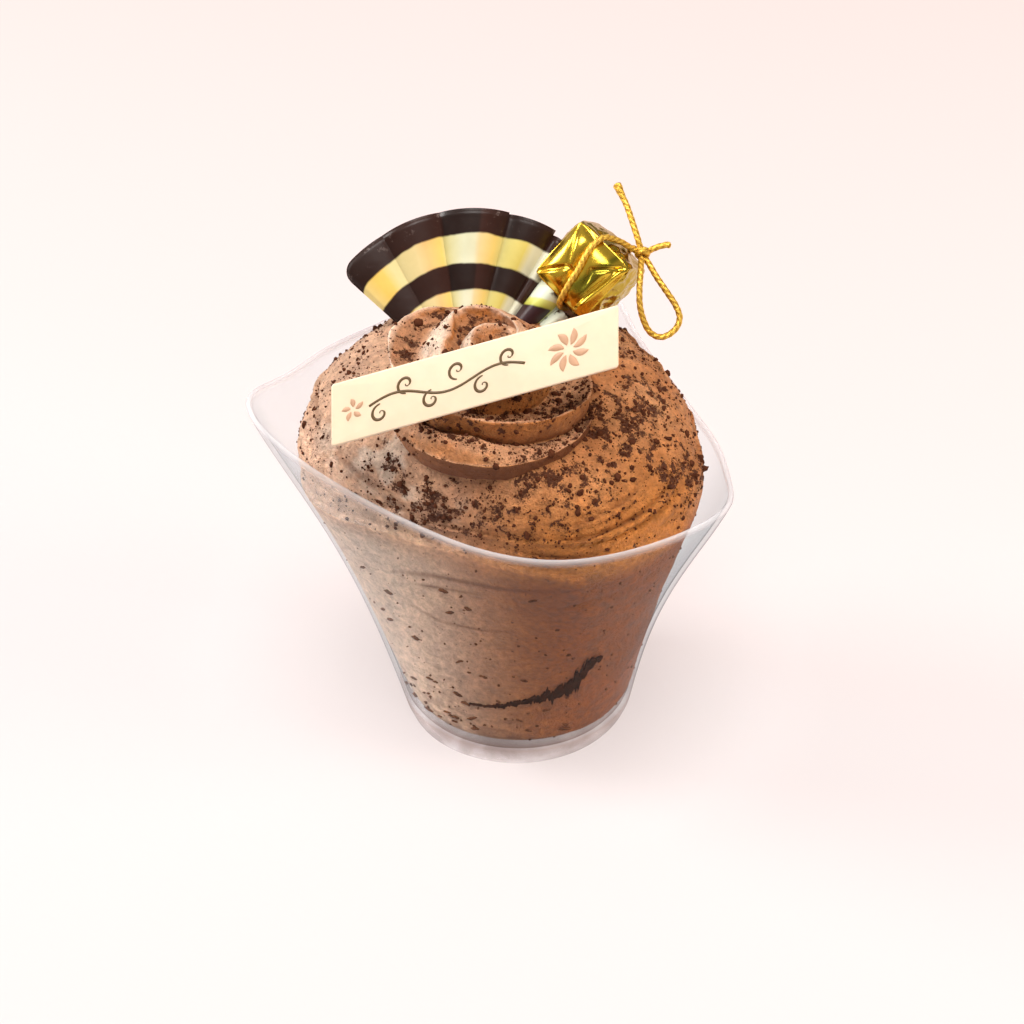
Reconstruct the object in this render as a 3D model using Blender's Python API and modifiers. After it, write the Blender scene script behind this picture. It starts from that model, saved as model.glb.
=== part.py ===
"""Chocolate mousse in a clear three-cornered cup, topped with a piped rosette,
a pleated striped chocolate fan, a white chocolate plaque and a foil parcel tied with gold cord.

Metres, +Z up. The cup stands on its foot at z = 0, with the middle of the whole model's
bounding box over the origin. One edge of the cup faces -Y and one corner points to +Y.
"""
import math

import bmesh
import bpy
from mathutils import Matrix, Vector

MM = 0.001
GAP = 0.3 * MM

# The cup's axis, from the middle of the whole model's bounding box.
CUP_X = -1.522 * MM
CUP_Y = -3.594 * MM

# Cup: mean rim, how far the three corners stand out and up, and how the thin wall has spread.
RIM_RADIUS = 42.5 * MM
RIM_CORNER = 5.6 * MM
RIM_POINT = 1.43 * MM
RIM_TIP = 0.38 * MM
RIM_SPREAD = 4.1 * MM
SPREAD_HEADING = math.radians(-15.5)
RIM_SHIFT = (0.4 * MM, 0.7 * MM)
RIM_HEIGHT = 72.4 * MM
CORNER_RISE = 5.0 * MM
POINT_RISE = 1.45 * MM
TIP_RISE = 0.43 * MM
RIM_LEAN = (-4.2 * MM, 1.05 * MM)
FOOT_RADIUS = 23.6 * MM
FOOT_CORNER = 0.13 * MM
FLARE = (0.674, 0.478, -0.152)
CUP_WALL = 1.0 * MM
FOOT_WIDTH = 1.8 * MM
FOOT_RECESS = 2.3 * MM
FLOOR_TOP = 3.4 * MM
FLOOR_ROUND = 1.5 * MM
FLOOR_EDGE = 0.8 * MM
CUP_SIDES = 60
CUP_LEVELS = 8

# Mousse: it is rounder than the cup, so the corners stay empty, and it domes above the rim.
FILL_TOP = 62.0 * MM
FILL_ROUND = (0.93, 0.995)
FILL_BLEND = 0.5 * MM
FILL_BULGE = 4.0 * MM
BULGE_HEADING = math.radians(-14.0)
BULGE_SPREAD = math.radians(36.0)
BULGE_GAP = 0.2 * MM
DOME_CENTRE = (-2.2 * MM, -3.0 * MM)
DOME_RADIUS = 39.0 * MM
DOME_RISE = 25.7 * MM
DOME_POWER = 2.5
DOME_CLIFF = 120.0
MOUSSE_SIDES = 56
MOUSSE_LEVELS = 8
BOTTOM_ROUND = 2.5 * MM
DOME_LIFTS = (0, 12, 24, 36, 48, 58, 67, 75, 82)

# Rosette piped on the dome: a rope laid in a flat spiral that climbs to the middle.
ROSETTE_CENTRE = (2.0 * MM, -12.6 * MM)
ROSETTE_RADIUS = 19.3 * MM
ROSETTE_BASE = 79.0 * MM
ROSETTE_EDGE = 2.6 * MM
ROSETTE_CLEARANCE = 0.5 * MM
ROSETTE_TURNS = 2.5
ROSETTE_START = math.radians(100.0)
ROPE_STEP = 5.2 * MM
ROPE_POWER = 2.6
ROPE_FADE = 5.0
ROSETTE_LEAN = (-5.0 * MM, -1.0 * MM)
ROSETTE_SIDES = 56
ROSETTE_RINGS = 21
ROSETTE_UNDERSIDE = (0.25, 0.45, 0.6, 0.72, 0.83, 0.93)

# The toppings share one leaning frame: SIDE to the right, RISE up the slope, OUT from its face.
LEAN_ORIGIN = (0.4 * MM, 0.1 * MM, 47.7 * MM)
LEAN_HEADING = math.radians(19.4)
LEAN_BACK = math.radians(39.4)
LEAN_ROLL = math.radians(3.1)

# Fan: a cone of pleats from a point hidden in the mousse. Each pleat is (first angle,
# last angle, how far it bulges, how much of the full radius it reaches).
FAN_APEX = (-9.1 * MM, 24.6 * MM, 15.2 * MM)
FAN_RADIUS = 34.0 * MM
FAN_GROWTH = 1.9 * MM
FAN_THICKNESS = 1.5 * MM
FAN_PLEATS = (
    (-48.0, -29.0, 1.5 * MM, 1.00),
    (-29.0, -8.5, 2.0 * MM, 1.00),
    (-8.5, 14.5, 2.2 * MM, 1.00),
    (14.5, 32.0, 2.4 * MM, 1.00),
    (33.5, 48.0, 5.5 * MM, 0.67),
    (48.0, 53.0, 3.0 * MM, 0.64),
)
FAN_COLUMNS = 6
FAN_ROWS = 5
FAN_CORNER = 2.0 * MM
FAN_CLEARANCE = 0.8 * MM
FAN_FIRST_SHARE = 0.2
FAN_LEAST_LENGTH = 0.03
FAN_SEARCH_STEP = 0.005
FAN_SAFETY = 0.01

# Plaque: a bar with upright ends, resting on the rosette.
PLAQUE_CENTRE = (-6.65 * MM, 24.45 * MM, 50.6 * MM)
PLAQUE_WIDTH = 51.6 * MM
PLAQUE_HEIGHT = 11.2 * MM
PLAQUE_SLOPE = math.radians(15.5)
PLAQUE_THICKNESS = 1.8 * MM
PLAQUE_BEVEL = 0.25 * MM

# Parcel: a soft square block of sweets in foil, standing on one edge.
PARCEL_CENTRE = (15.55 * MM, 46.6 * MM, 15.5 * MM)
PARCEL_SIDE = 12.5 * MM
PARCEL_DEPTH = 12.9 * MM
PARCEL_SKEW = -0.045
PARCEL_SWELL = 0.11
PARCEL_CUTS = 3
PARCEL_TURN = math.radians(-17.5)
PARCEL_TIP = math.radians(3.5)
PARCEL_BEVEL = 0.7 * MM

# Gold cord: round the parcel, knotted at its right corner, with one loop and two ends. The
# routes are in millimetres: the wrap's is across, down and out from the parcel's middle, along
# its own edges, and the others' are in the toppings' frame.
CORD_DIAMETER = 1.25 * MM
KNOT_CENTRE = (24.95, 49.6, 19.2)
KNOT_SIZE = (1.5, 1.7, 1.6)
KNOT_SEGMENTS = 14
KNOT_RINGS = 8
WRAP_ROUTE = (
    (8.9, 3.0, 1.6),
    (8.7, 1.4, 3.3),
    (8.2, -0.1, 5.2),
    (7.3, -1.1, 7.1),
    (5.2, -1.2, 8.4),
    (2.5, -0.7, 8.9),
    (0.0, 0.0, 9.0),
    (-2.5, 0.4, 8.9),
    (-5.2, 0.9, 8.4),
    (-7.3, 1.2, 7.1),
    (-8.4, 1.2, 4.0),
    (-8.7, 1.1, 0.0),
    (-8.4, 0.9, -4.0),
    (-7.3, 0.6, -7.2),
    (-4.0, 0.4, -8.7),
    (0.0, 0.3, -9.0),
    (4.0, 0.6, -8.7),
    (7.3, 1.3, -7.2),
    (8.4, 2.4, -4.0),
    (8.9, 3.8, -1.2),
)
LOOP_ROUTE = (
    (26.1, 47.9, 19.8),
    (27.8, 44.9, 20.6),
    (29.6, 42.2, 21.0),
    (31.3, 39.6, 21.0),
    (32.1, 37.3, 21.0),
    (31.5, 35.3, 21.0),
    (29.9, 33.9, 21.0),
    (28.1, 33.5, 21.2),
    (26.3, 34.5, 21.6),
    (25.1, 36.7, 22.2),
    (24.4, 39.4, 22.9),
    (24.3, 42.4, 23.3),
    (24.5, 45.3, 22.8),
    (24.7, 47.4, 21.1),
)
LONG_END_ROUTE = (
    (24.4, 51.6, 19.6),
    (23.8, 53.6, 19.6),
    (22.9, 56.4, 19.4),
    (22.0, 59.0, 19.1),
    (20.9, 61.4, 18.8),
    (20.1, 63.3, 18.6),
)
SHORT_END_ROUTE = (
    (26.7, 50.3, 20.2),
    (28.0, 50.8, 20.6),
    (29.3, 51.1, 20.8),
    (30.5, 51.2, 20.8),
)
ROUTE_STEP = 2.6 * MM
ROUTE_FINENESS = 20


def lean_axes():
    """SIDE, RISE and OUT as the columns of a matrix."""
    head, back, roll = LEAN_HEADING, LEAN_BACK, LEAN_ROLL
    out = Vector((math.sin(head) * math.cos(back), -math.cos(head) * math.cos(back), math.sin(back)))
    level = Vector((math.cos(head), math.sin(head), 0.0))
    rise = out.cross(level)
    side = level * math.cos(roll) - rise * math.sin(roll)
    rise = out.cross(side)
    return Matrix((side, rise, out)).transposed()


LEAN = lean_axes()


def leaned(point):
    """A point given along SIDE, RISE and OUT, in the model's own axes."""
    return Vector(LEAN_ORIGIN) + LEAN @ Vector(point) + Vector((CUP_X, CUP_Y, 0.0))


# ---------------------------------------------------------------- building helpers

def material(name, colour, roughness, metallic=0.0, transmission=0.0):
    made = bpy.data.materials.new(name)
    made.use_nodes = True
    shader = made.node_tree.nodes["Principled BSDF"]
    shader.inputs["Base Color"].default_value = (*colour, 1.0)
    shader.inputs["Roughness"].default_value = roughness
    shader.inputs["Metallic"].default_value = metallic
    shader.inputs["Transmission Weight"].default_value = transmission
    made.diffuse_color = (*colour, 1.0)
    return made


def add_object(name, mesh, collection, finish):
    mesh.materials.append(finish)
    made = bpy.data.objects.new(name, mesh)
    collection.objects.link(made)
    return made


def finish_mesh(name, shape):
    bmesh.ops.recalc_face_normals(shape, faces=shape.faces)
    mesh = bpy.data.meshes.new(name)
    shape.to_mesh(mesh)
    shape.free()
    mesh.shade_smooth()
    mesh.set_sharp_from_angle(angle=math.radians(40.0))
    return mesh


def loft(name, rings):
    """A closed solid through rings of equal length; a ring of one point closes an end."""
    shape = bmesh.new()
    rows = [[shape.verts.new(point) for point in ring] for ring in rings]
    for low, high in zip(rows, rows[1:]):
        count = max(len(low), len(high))
        for i in range(count):
            j = (i + 1) % count
            corners = [low[i % len(low)], low[j % len(low)], high[j % len(high)], high[i % len(high)]]
            shape.faces.new(list(dict.fromkeys(corners)))
    return finish_mesh(name, shape)


def slab(name, front, back):
    """A closed sheet between two grids of points of the same size."""
    shape = bmesh.new()
    sheets = [[[shape.verts.new(point) for point in row] for row in grid] for grid in (front, back)]
    rows, columns = len(front), len(front[0])
    for grid in sheets:
        for i in range(rows - 1):
            for j in range(columns - 1):
                shape.faces.new((grid[i][j], grid[i][j + 1], grid[i + 1][j + 1], grid[i + 1][j]))
    edge = [(0, j) for j in range(columns)] + [(i, columns - 1) for i in range(1, rows)]
    edge += [(rows - 1, j) for j in range(columns - 2, -1, -1)] + [(i, 0) for i in range(rows - 2, 0, -1)]
    for (a, b), (c, d) in zip(edge, edge[1:] + edge[:1]):
        shape.faces.new((sheets[0][a][b], sheets[0][c][d], sheets[1][c][d], sheets[1][a][b]))
    return finish_mesh(name, shape)


def angles(count):
    return [2.0 * math.pi * i / count for i in range(count)]


def polar(radius, angle, height):
    return Vector((CUP_X + radius * math.cos(angle), CUP_Y + radius * math.sin(angle), height))


# ---------------------------------------------------------------- cup

def rim_radius(angle):
    lobe = 3.0 * (angle - math.pi / 2.0)
    corners = RIM_CORNER * math.cos(lobe) + RIM_POINT * math.cos(2 * lobe) + RIM_TIP * math.cos(3 * lobe)
    spread = RIM_SPREAD * math.cos(2.0 * (angle - SPREAD_HEADING))
    shift = RIM_SHIFT[0] * math.cos(angle) + RIM_SHIFT[1] * math.sin(angle)
    return RIM_RADIUS + corners + spread + shift


def rim_height(angle):
    lobe = 3.0 * (angle - math.pi / 2.0)
    corners = CORNER_RISE * math.cos(lobe) + POINT_RISE * math.cos(2 * lobe) + TIP_RISE * math.cos(3 * lobe)
    return RIM_HEIGHT + corners + RIM_LEAN[0] * math.cos(angle) + RIM_LEAN[1] * math.sin(angle)


def flare(level):
    """How much of the way from foot to rim the wall has spread, at a share of its height."""
    return FLARE[0] * level + FLARE[1] * level ** 3 + FLARE[2] * level ** 7


def foot_radius(angle):
    return FOOT_RADIUS + FOOT_CORNER * math.cos(3.0 * (angle - math.pi / 2.0))


def wall_radius(angle, height):
    """The outside of the cup's wall."""
    level = height / rim_height(angle)
    return foot_radius(angle) + (rim_radius(angle) - foot_radius(angle)) * flare(level)


def cup_profile(angle):
    """Radius and height round the wall's section: underside, foot, outside, rim and inside."""
    top = rim_height(angle)
    foot = foot_radius(angle)
    section = [(foot * 0.5, FOOT_RECESS), (foot - FOOT_WIDTH, FOOT_RECESS), (foot - FOOT_WIDTH, 0.0)]
    section += [(foot, 0.0)]
    for step in range(1, CUP_LEVELS + 1):
        height = top * step / CUP_LEVELS - (CUP_WALL * 0.5 if step == CUP_LEVELS else 0.0)
        section.append((wall_radius(angle, height), height))
    section += [(rim_radius(angle) - CUP_WALL * 0.5, top)]
    for step in range(CUP_LEVELS, 0, -1):
        height = top * step / CUP_LEVELS - (CUP_WALL * 0.5 if step == CUP_LEVELS else 0.0)
        height = max(height, FLOOR_TOP + FLOOR_ROUND)
        section.append((wall_radius(angle, height) - CUP_WALL, height))
    section += [(wall_radius(angle, FLOOR_TOP) - CUP_WALL - FLOOR_EDGE, FLOOR_TOP), (foot * 0.5, FLOOR_TOP)]
    return section


def make_cup(collection):
    profiles = [(angle, cup_profile(angle)) for angle in angles(CUP_SIDES)]
    rings = [[(CUP_X, CUP_Y, FOOT_RECESS)]]
    for step in range(len(profiles[0][1])):
        rings.append([polar(*(profile[step][0], angle, profile[step][1])) for angle, profile in profiles])
    rings.append([(CUP_X, CUP_Y, FLOOR_TOP)])
    finish = material("clear_plastic", (0.95, 0.96, 0.97), 0.05, transmission=1.0)
    return add_object("cup", loft("cup", rings), collection, finish)


# ---------------------------------------------------------------- mousse

def soft_min(first, second):
    """The smaller of two lengths, with the change between them rounded."""
    half = (first + second) / 2.0
    return half - math.hypot((first - second) / 2.0, FILL_BLEND)


def fill_centre(height):
    """The middle of the mousse at a height: the dome sits a little off the cup's axis."""
    share = min(height / FILL_TOP, 1.0)
    return DOME_CENTRE[0] * share, DOME_CENTRE[1] * share


def wall_reach(angle, height):
    """From the middle of the mousse, along a heading, to just short of the cup's wall."""
    x, y = fill_centre(height)
    reach = wall_radius(angle, height)
    for _ in range(6):
        far_x = x + reach * math.cos(angle)
        far_y = y + reach * math.sin(angle)
        room = wall_radius(math.atan2(far_y, far_x), height) - CUP_WALL - GAP
        reach *= room / math.hypot(far_x, far_y)
    return reach


def fill_reach(angle, height):
    """The mousse in the cup: against the wall along the edges, round and clear of it in the corners."""
    share = height / FILL_TOP
    mean = FOOT_RADIUS + (DOME_RADIUS - FOOT_RADIUS) * flare(share) / flare(1.0)
    rounded = mean * (FILL_ROUND[0] + (FILL_ROUND[1] - FILL_ROUND[0]) * share)
    turn = math.remainder(angle - BULGE_HEADING, 2.0 * math.pi) / BULGE_SPREAD
    bulge = math.exp(-turn * turn)
    return soft_min(wall_reach(angle, height) - BULGE_GAP * bulge, rounded + FILL_BULGE * bulge)


def dome_shape(angle):
    """The dome's reach at a heading, and its power: steeper where the wall cuts it short."""
    reach = fill_reach(angle, FILL_TOP)
    return reach, DOME_POWER + (DOME_RADIUS - reach) * DOME_CLIFF


def fill_point(reach, angle, height):
    x, y = fill_centre(height)
    return Vector((CUP_X + x + reach * math.cos(angle), CUP_Y + y + reach * math.sin(angle), height))


def dome_point(angle, lift):
    """A point of the dome at a heading, and a lift of 0 at its edge to 90 degrees at its top."""
    reach, power = dome_shape(angle)
    share = max(math.cos(lift), 0.0) ** (2.0 / power)
    return fill_point(reach * share, angle, FILL_TOP + DOME_RISE * math.sin(lift) ** (2.0 / power))


def dome_height(x, y):
    """The dome's height over a place in plan."""
    across = x - CUP_X - DOME_CENTRE[0]
    along = y - CUP_Y - DOME_CENTRE[1]
    reach, power = dome_shape(math.atan2(along, across))
    share = math.hypot(across, along) / reach
    if share >= 1.0:
        return FILL_TOP
    return FILL_TOP + DOME_RISE * (1.0 - share ** power) ** (1.0 / power)


def make_mousse(collection):
    bottom = FLOOR_TOP + GAP
    turns = angles(MOUSSE_SIDES)
    rings = [[fill_point(0.0, 0.0, bottom)]]
    rings.append([fill_point(fill_reach(a, bottom) - BOTTOM_ROUND, a, bottom) for a in turns])
    for step in range(MOUSSE_LEVELS):
        low = bottom + BOTTOM_ROUND
        height = low + (FILL_TOP - low) * step / MOUSSE_LEVELS
        rings.append([fill_point(fill_reach(a, height), a, height) for a in turns])
    for lift in DOME_LIFTS:
        rings.append([dome_point(a, math.radians(lift)) for a in turns])
    rings.append([fill_point(0.0, 0.0, FILL_TOP + DOME_RISE)])
    finish = material("chocolate_mousse", (0.42, 0.22, 0.13), 0.7)
    return add_object("mousse", loft("mousse", rings), collection, finish)


# ---------------------------------------------------------------- rosette

def rosette_thickness(share, angle):
    """How thick the rosette is above its underside: a spiral of bulging steps up to the middle."""
    climb = ROSETTE_TURNS * (1.0 - share)
    turn = (climb + (angle - ROSETTE_START) / (2.0 * math.pi)) % 1.0
    bulge = (1.0 - (1.0 - turn) ** ROPE_POWER) ** (1.0 / ROPE_POWER) - turn
    return ROSETTE_EDGE + ROPE_STEP * (climb + bulge * min(1.0, share * ROPE_FADE))


def rosette_point(share, angle, above):
    """A point of the rosette, whose top leans to one side."""
    x = ROSETTE_CENTRE[0] + ROSETTE_RADIUS * share * math.cos(angle)
    y = ROSETTE_CENTRE[1] + ROSETTE_RADIUS * share * math.sin(angle)
    base = max(dome_height(CUP_X + x, CUP_Y + y) + ROSETTE_CLEARANCE, ROSETTE_BASE)
    lean = above / (ROPE_STEP * ROSETTE_TURNS)
    return (CUP_X + x + ROSETTE_LEAN[0] * lean, CUP_Y + y + ROSETTE_LEAN[1] * lean, base + above)


def make_rosette(collection):
    turns = angles(ROSETTE_SIDES)
    rings = [[rosette_point(0.0, 0.0, 0.0)]]
    for share in ROSETTE_UNDERSIDE:
        rings.append([rosette_point(share, a, 0.0) for a in turns])
    for step in range(ROSETTE_RINGS):
        share = 1.0 - step / ROSETTE_RINGS
        rings.append([rosette_point(share, a, rosette_thickness(share, a)) for a in turns])
    rings.append([rosette_point(0.0, 0.0, rosette_thickness(0.0, 0.0))])
    finish = material("piped_mousse", (0.42, 0.22, 0.13), 0.65)
    return add_object("rosette", loft("rosette", rings), collection, finish)


# ---------------------------------------------------------------- fan

def fan_columns():
    """Angle, bulge and reach of each line of the fan, from its left edge to its right."""
    columns = []
    for first, last, bulge, reach in FAN_PLEATS:
        start = 0 if not columns or columns[-1][2] != reach else 1
        for step in range(start, FAN_COLUMNS + 1):
            share = step / FAN_COLUMNS
            angle = math.radians(first + (last - first) * share)
            columns.append((angle, bulge * math.sin(math.pi * share), reach))
    return columns


def fan_point(angle, bulge, share, offset):
    """A point of the cone of pleats, at a share of its full radius."""
    radius = (FAN_RADIUS + FAN_GROWTH * angle) * share
    across = radius * math.sin(angle)
    along = radius * math.cos(angle)
    apex = Vector(FAN_APEX)
    return leaned(apex + Vector((across, along, bulge * share + offset)))


def clear_of_dome(point):
    return point.z > dome_height(point.x, point.y) + FAN_CLEARANCE


def fan_start(angle, bulge, reach):
    """The share of the radius at which the fan comes out of the mousse."""
    half = FAN_THICKNESS / 2.0
    share = FAN_FIRST_SHARE
    while share < reach - FAN_LEAST_LENGTH:
        points = [fan_point(angle, bulge, share, side) for side in (-half, half)]
        if all(clear_of_dome(point) for point in points):
            break
        share += FAN_SEARCH_STEP
    return share + FAN_SAFETY


def make_fan(collection):
    columns = fan_columns()
    starts = [fan_start(*column) for column in columns]
    ends = [column[2] for column in columns]
    ends[0] -= FAN_CORNER / FAN_RADIUS
    grids = ([], [])
    for row in range(FAN_ROWS + 1):
        for grid, offset in zip(grids, (FAN_THICKNESS / 2.0, -FAN_THICKNESS / 2.0)):
            line = []
            for (angle, bulge, _), start, end in zip(columns, starts, ends):
                share = start + (end - start) * row / FAN_ROWS
                line.append(fan_point(angle, bulge, share, offset))
            grid.append(line)
    finish = material("striped_chocolate", (0.10, 0.04, 0.03), 0.35)
    return add_object("fan", slab("fan", *grids), collection, finish)


# ---------------------------------------------------------------- plaque

def make_plaque(collection):
    outline = bpy.data.curves.new("plaque_outline", "CURVE")
    outline.dimensions = "2D"
    outline.fill_mode = "BOTH"
    outline.extrude = PLAQUE_THICKNESS / 2.0
    spline = outline.splines.new("POLY")
    spline.use_cyclic_u = True
    spline.points.add(3)
    half_w, half_h = PLAQUE_WIDTH / 2.0, PLAQUE_HEIGHT / 2.0
    lift = half_w * math.tan(PLAQUE_SLOPE)
    corners = ((-half_w, -lift - half_h), (half_w, lift - half_h),
               (half_w, lift + half_h), (-half_w, half_h - lift))
    for point, (x, y) in zip(spline.points, corners):
        point.co = (x, y, 0.0, 1.0)
    flat = bpy.data.objects.new("plaque_flat", outline)
    collection.objects.link(flat)
    bpy.context.view_layer.update()
    mesh = bpy.data.meshes.new_from_object(flat.evaluated_get(bpy.context.evaluated_depsgraph_get()))
    bpy.data.objects.remove(flat)
    shape = bmesh.new()
    shape.from_mesh(mesh)
    bmesh.ops.remove_doubles(shape, verts=shape.verts, dist=0.00001)
    bmesh.ops.dissolve_limit(shape, angle_limit=0.01, verts=shape.verts, edges=shape.edges)
    mesh = finish_mesh("plaque", shape)
    finish = material("white_chocolate", (0.86, 0.78, 0.62), 0.4)
    plaque = add_object("plaque", mesh, collection, finish)
    edge = plaque.modifiers.new("edge", "BEVEL")
    edge.width = PLAQUE_BEVEL
    edge.segments = 2
    plaque.matrix_world = Matrix.Translation(leaned(PLAQUE_CENTRE)) @ LEAN.to_4x4()
    return plaque


# ---------------------------------------------------------------- parcel

def parcel_turn():
    """The parcel's edges in the toppings' frame: it stands on an edge, turned and tipped."""
    turn = Matrix.Rotation(PARCEL_TURN, 3, "Y") @ Matrix.Rotation(PARCEL_TIP, 3, "X")
    return turn @ Matrix.Rotation(math.radians(45.0), 3, "Z")


def on_parcel(point):
    """A point in millimetres across, down and out from the parcel's middle, in the model's axes."""
    across, down, out = point
    return leaned(Vector(PARCEL_CENTRE) + parcel_turn() @ Vector((across, -down, out)) * MM)


def swell(vertex):
    """Push a face of the unit cube out in the middle, so that its sides look filled."""
    flat = [1.0 - (2.0 * value) ** 2 for value in vertex.co]
    for axis in range(3):
        first, second = flat[(axis + 1) % 3], flat[(axis + 2) % 3]
        vertex.co[axis] *= 1.0 + 2.0 * PARCEL_SWELL * first * second


def make_parcel(collection):
    shape = bmesh.new()
    bmesh.ops.create_cube(shape, size=1.0)
    bmesh.ops.subdivide_edges(shape, edges=shape.edges, cuts=PARCEL_CUTS, use_grid_fill=True)
    for vertex in shape.verts:
        swell(vertex)
    bmesh.ops.scale(shape, vec=(PARCEL_SIDE, PARCEL_SIDE, PARCEL_DEPTH), verts=shape.verts)
    for vertex in shape.verts:
        vertex.co.xy += PARCEL_SKEW * vertex.co.yx
    finish = material("gold_foil", (0.85, 0.62, 0.16), 0.2, metallic=1.0)
    parcel = add_object("parcel", finish_mesh("parcel", shape), collection, finish)
    edge = parcel.modifiers.new("edge", "BEVEL")
    edge.width = PARCEL_BEVEL
    edge.segments = 3
    parcel.matrix_world = Matrix.Translation(leaned(PARCEL_CENTRE)) @ (LEAN @ parcel_turn()).to_4x4()
    return parcel


# ---------------------------------------------------------------- cord

def smooth_route(knots, step):
    """Points a step apart on a smooth curve through the route's own points."""
    knots = [2 * knots[0] - knots[1]] + knots + [2 * knots[-1] - knots[-2]]
    dense = []
    for a, b, c, d in zip(knots, knots[1:], knots[2:], knots[3:]):
        for i in range(ROUTE_FINENESS):
            t = i / ROUTE_FINENESS
            dense.append(0.5 * (2 * b + (c - a) * t + (2 * a - 5 * b + 4 * c - d) * t ** 2
                                + (3 * b - a - 3 * c + d) * t ** 3))
    dense.append(knots[-2])
    lengths = [0.0]
    for first, second in zip(dense, dense[1:]):
        lengths.append(lengths[-1] + (second - first).length)
    count = max(3, round(lengths[-1] / step) + 1)
    points = []
    for i in range(count):
        target = lengths[-1] * i / (count - 1)
        k = min(range(len(lengths)), key=lambda n: abs(lengths[n] - target))
        points.append(dense[k])
    return points


def make_strand(name, route, collection, finish):
    curve = bpy.data.curves.new(name, "CURVE")
    curve.dimensions = "3D"
    curve.bevel_depth = CORD_DIAMETER / 2.0
    curve.bevel_resolution = 2
    curve.use_fill_caps = True
    points = smooth_route(route, ROUTE_STEP)
    spline = curve.splines.new("POLY")
    spline.points.add(len(points) - 1)
    for place, point in zip(spline.points, points):
        place.co = (*point, 1.0)
    curve.materials.append(finish)
    strand = bpy.data.objects.new(name, curve)
    collection.objects.link(strand)
    return strand


def make_knot(collection, finish):
    shape = bmesh.new()
    bmesh.ops.create_uvsphere(shape, u_segments=KNOT_SEGMENTS, v_segments=KNOT_RINGS, radius=MM)
    bmesh.ops.scale(shape, vec=KNOT_SIZE, verts=shape.verts)
    knot = add_object("tie_knot", finish_mesh("tie_knot", shape), collection, finish)
    knot.matrix_world = Matrix.Translation(leaned(Vector(KNOT_CENTRE) * MM)) @ LEAN.to_4x4()
    return knot


def make_tie(collection):
    finish = material("gold_cord", (0.72, 0.50, 0.14), 0.35, metallic=0.9)
    make_strand("tie_wrap", [on_parcel(point) for point in WRAP_ROUTE], collection, finish)
    for name, route in (("loop", LOOP_ROUTE), ("long_end", LONG_END_ROUTE), ("short_end", SHORT_END_ROUTE)):
        make_strand("tie_" + name, [leaned(Vector(point) * MM) for point in route], collection, finish)
    make_knot(collection, finish)


def main():
    for old in list(bpy.data.objects):
        bpy.data.objects.remove(old)
    collection = bpy.data.collections.new("chocolate_mousse")
    bpy.context.scene.collection.children.link(collection)
    make_cup(collection)
    make_mousse(collection)
    make_rosette(collection)
    make_fan(collection)
    make_plaque(collection)
    make_parcel(collection)
    make_tie(collection)


main()
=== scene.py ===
"""Looks for a chocolate mousse dessert: the clear cup, the mousse with its crumbs, the piped
rosette, the striped chocolate fan, the white chocolate bar, the foil parcel and its gold cord.

Sizes written with MM are in metres. The places of the rosette, the crumbs and the marks are in
millimetres from the middle of the cup's foot, and those of the fan, bar, parcel and cord in
millimetres along the toppings' leaning frame.
"""
import math
import random

import bmesh
import bpy
import numpy as np
from mathutils import Matrix, Vector, noise
from mathutils.bvhtree import BVHTree


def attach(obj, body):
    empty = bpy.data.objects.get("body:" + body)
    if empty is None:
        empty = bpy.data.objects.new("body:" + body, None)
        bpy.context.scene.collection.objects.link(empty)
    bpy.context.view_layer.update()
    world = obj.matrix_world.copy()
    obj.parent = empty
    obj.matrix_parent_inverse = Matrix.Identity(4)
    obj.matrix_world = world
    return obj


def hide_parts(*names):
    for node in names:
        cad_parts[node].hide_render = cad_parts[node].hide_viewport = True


bl_info = {
    "name": "Chocolate mousse dessert",
    "version": (1, 0, 0),
    "blender": (4, 5, 0),
    "location": "3D View > Sidebar > Dessert",
    "description": "Builds the finish of a chocolate mousse in a three-cornered cup",
    "category": "Object",
}

MM = 0.001
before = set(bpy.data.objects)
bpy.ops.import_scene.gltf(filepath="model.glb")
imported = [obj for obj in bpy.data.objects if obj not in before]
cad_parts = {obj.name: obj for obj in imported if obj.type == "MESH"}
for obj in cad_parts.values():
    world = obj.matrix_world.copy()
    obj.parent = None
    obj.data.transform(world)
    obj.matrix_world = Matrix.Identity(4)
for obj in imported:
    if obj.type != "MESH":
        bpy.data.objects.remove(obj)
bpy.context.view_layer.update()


# ---------------------------------------------------------------- settings

class CupSettings(bpy.types.PropertyGroup):
    wall: bpy.props.FloatProperty(
        name="Wall", description="Thickness of the plastic wall", default=0.9 * MM, unit="LENGTH")
    lip: bpy.props.FloatProperty(
        name="Lip", description="Thickness of the rolled rim", default=1.1 * MM, unit="LENGTH")
    tint: bpy.props.FloatVectorProperty(
        name="Tint", description="Colour of the plastic", default=(0.87, 0.93, 0.95),
        size=3, subtype="COLOR")


class MousseSettings(bpy.types.PropertyGroup):
    light: bpy.props.FloatVectorProperty(
        name="Light", description="Colour of the fluffy mousse", default=(0.72, 0.325, 0.135),
        size=3, subtype="COLOR")
    deep: bpy.props.FloatVectorProperty(
        name="Deep", description="Colour of the mousse in its folds", default=(0.47, 0.165, 0.050),
        size=3, subtype="COLOR")
    # Besides pale patches, this colour lays painted light on the dome's left side and on the rosette's tops
    # and left flanks.
    pale: bpy.props.FloatVectorProperty(
        name="Pale", description="Colour where cream shows", default=(0.87, 0.66, 0.51),
        size=3, subtype="COLOR")
    into_wall: bpy.props.FloatProperty(
        name="Into wall", description="How far the mousse reaches into the cup's wall",
        default=0.15 * MM, unit="LENGTH")
    relief: bpy.props.FloatProperty(
        name="Relief", description="Height of the dome's waves", default=0.75 * MM, unit="LENGTH")


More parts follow.
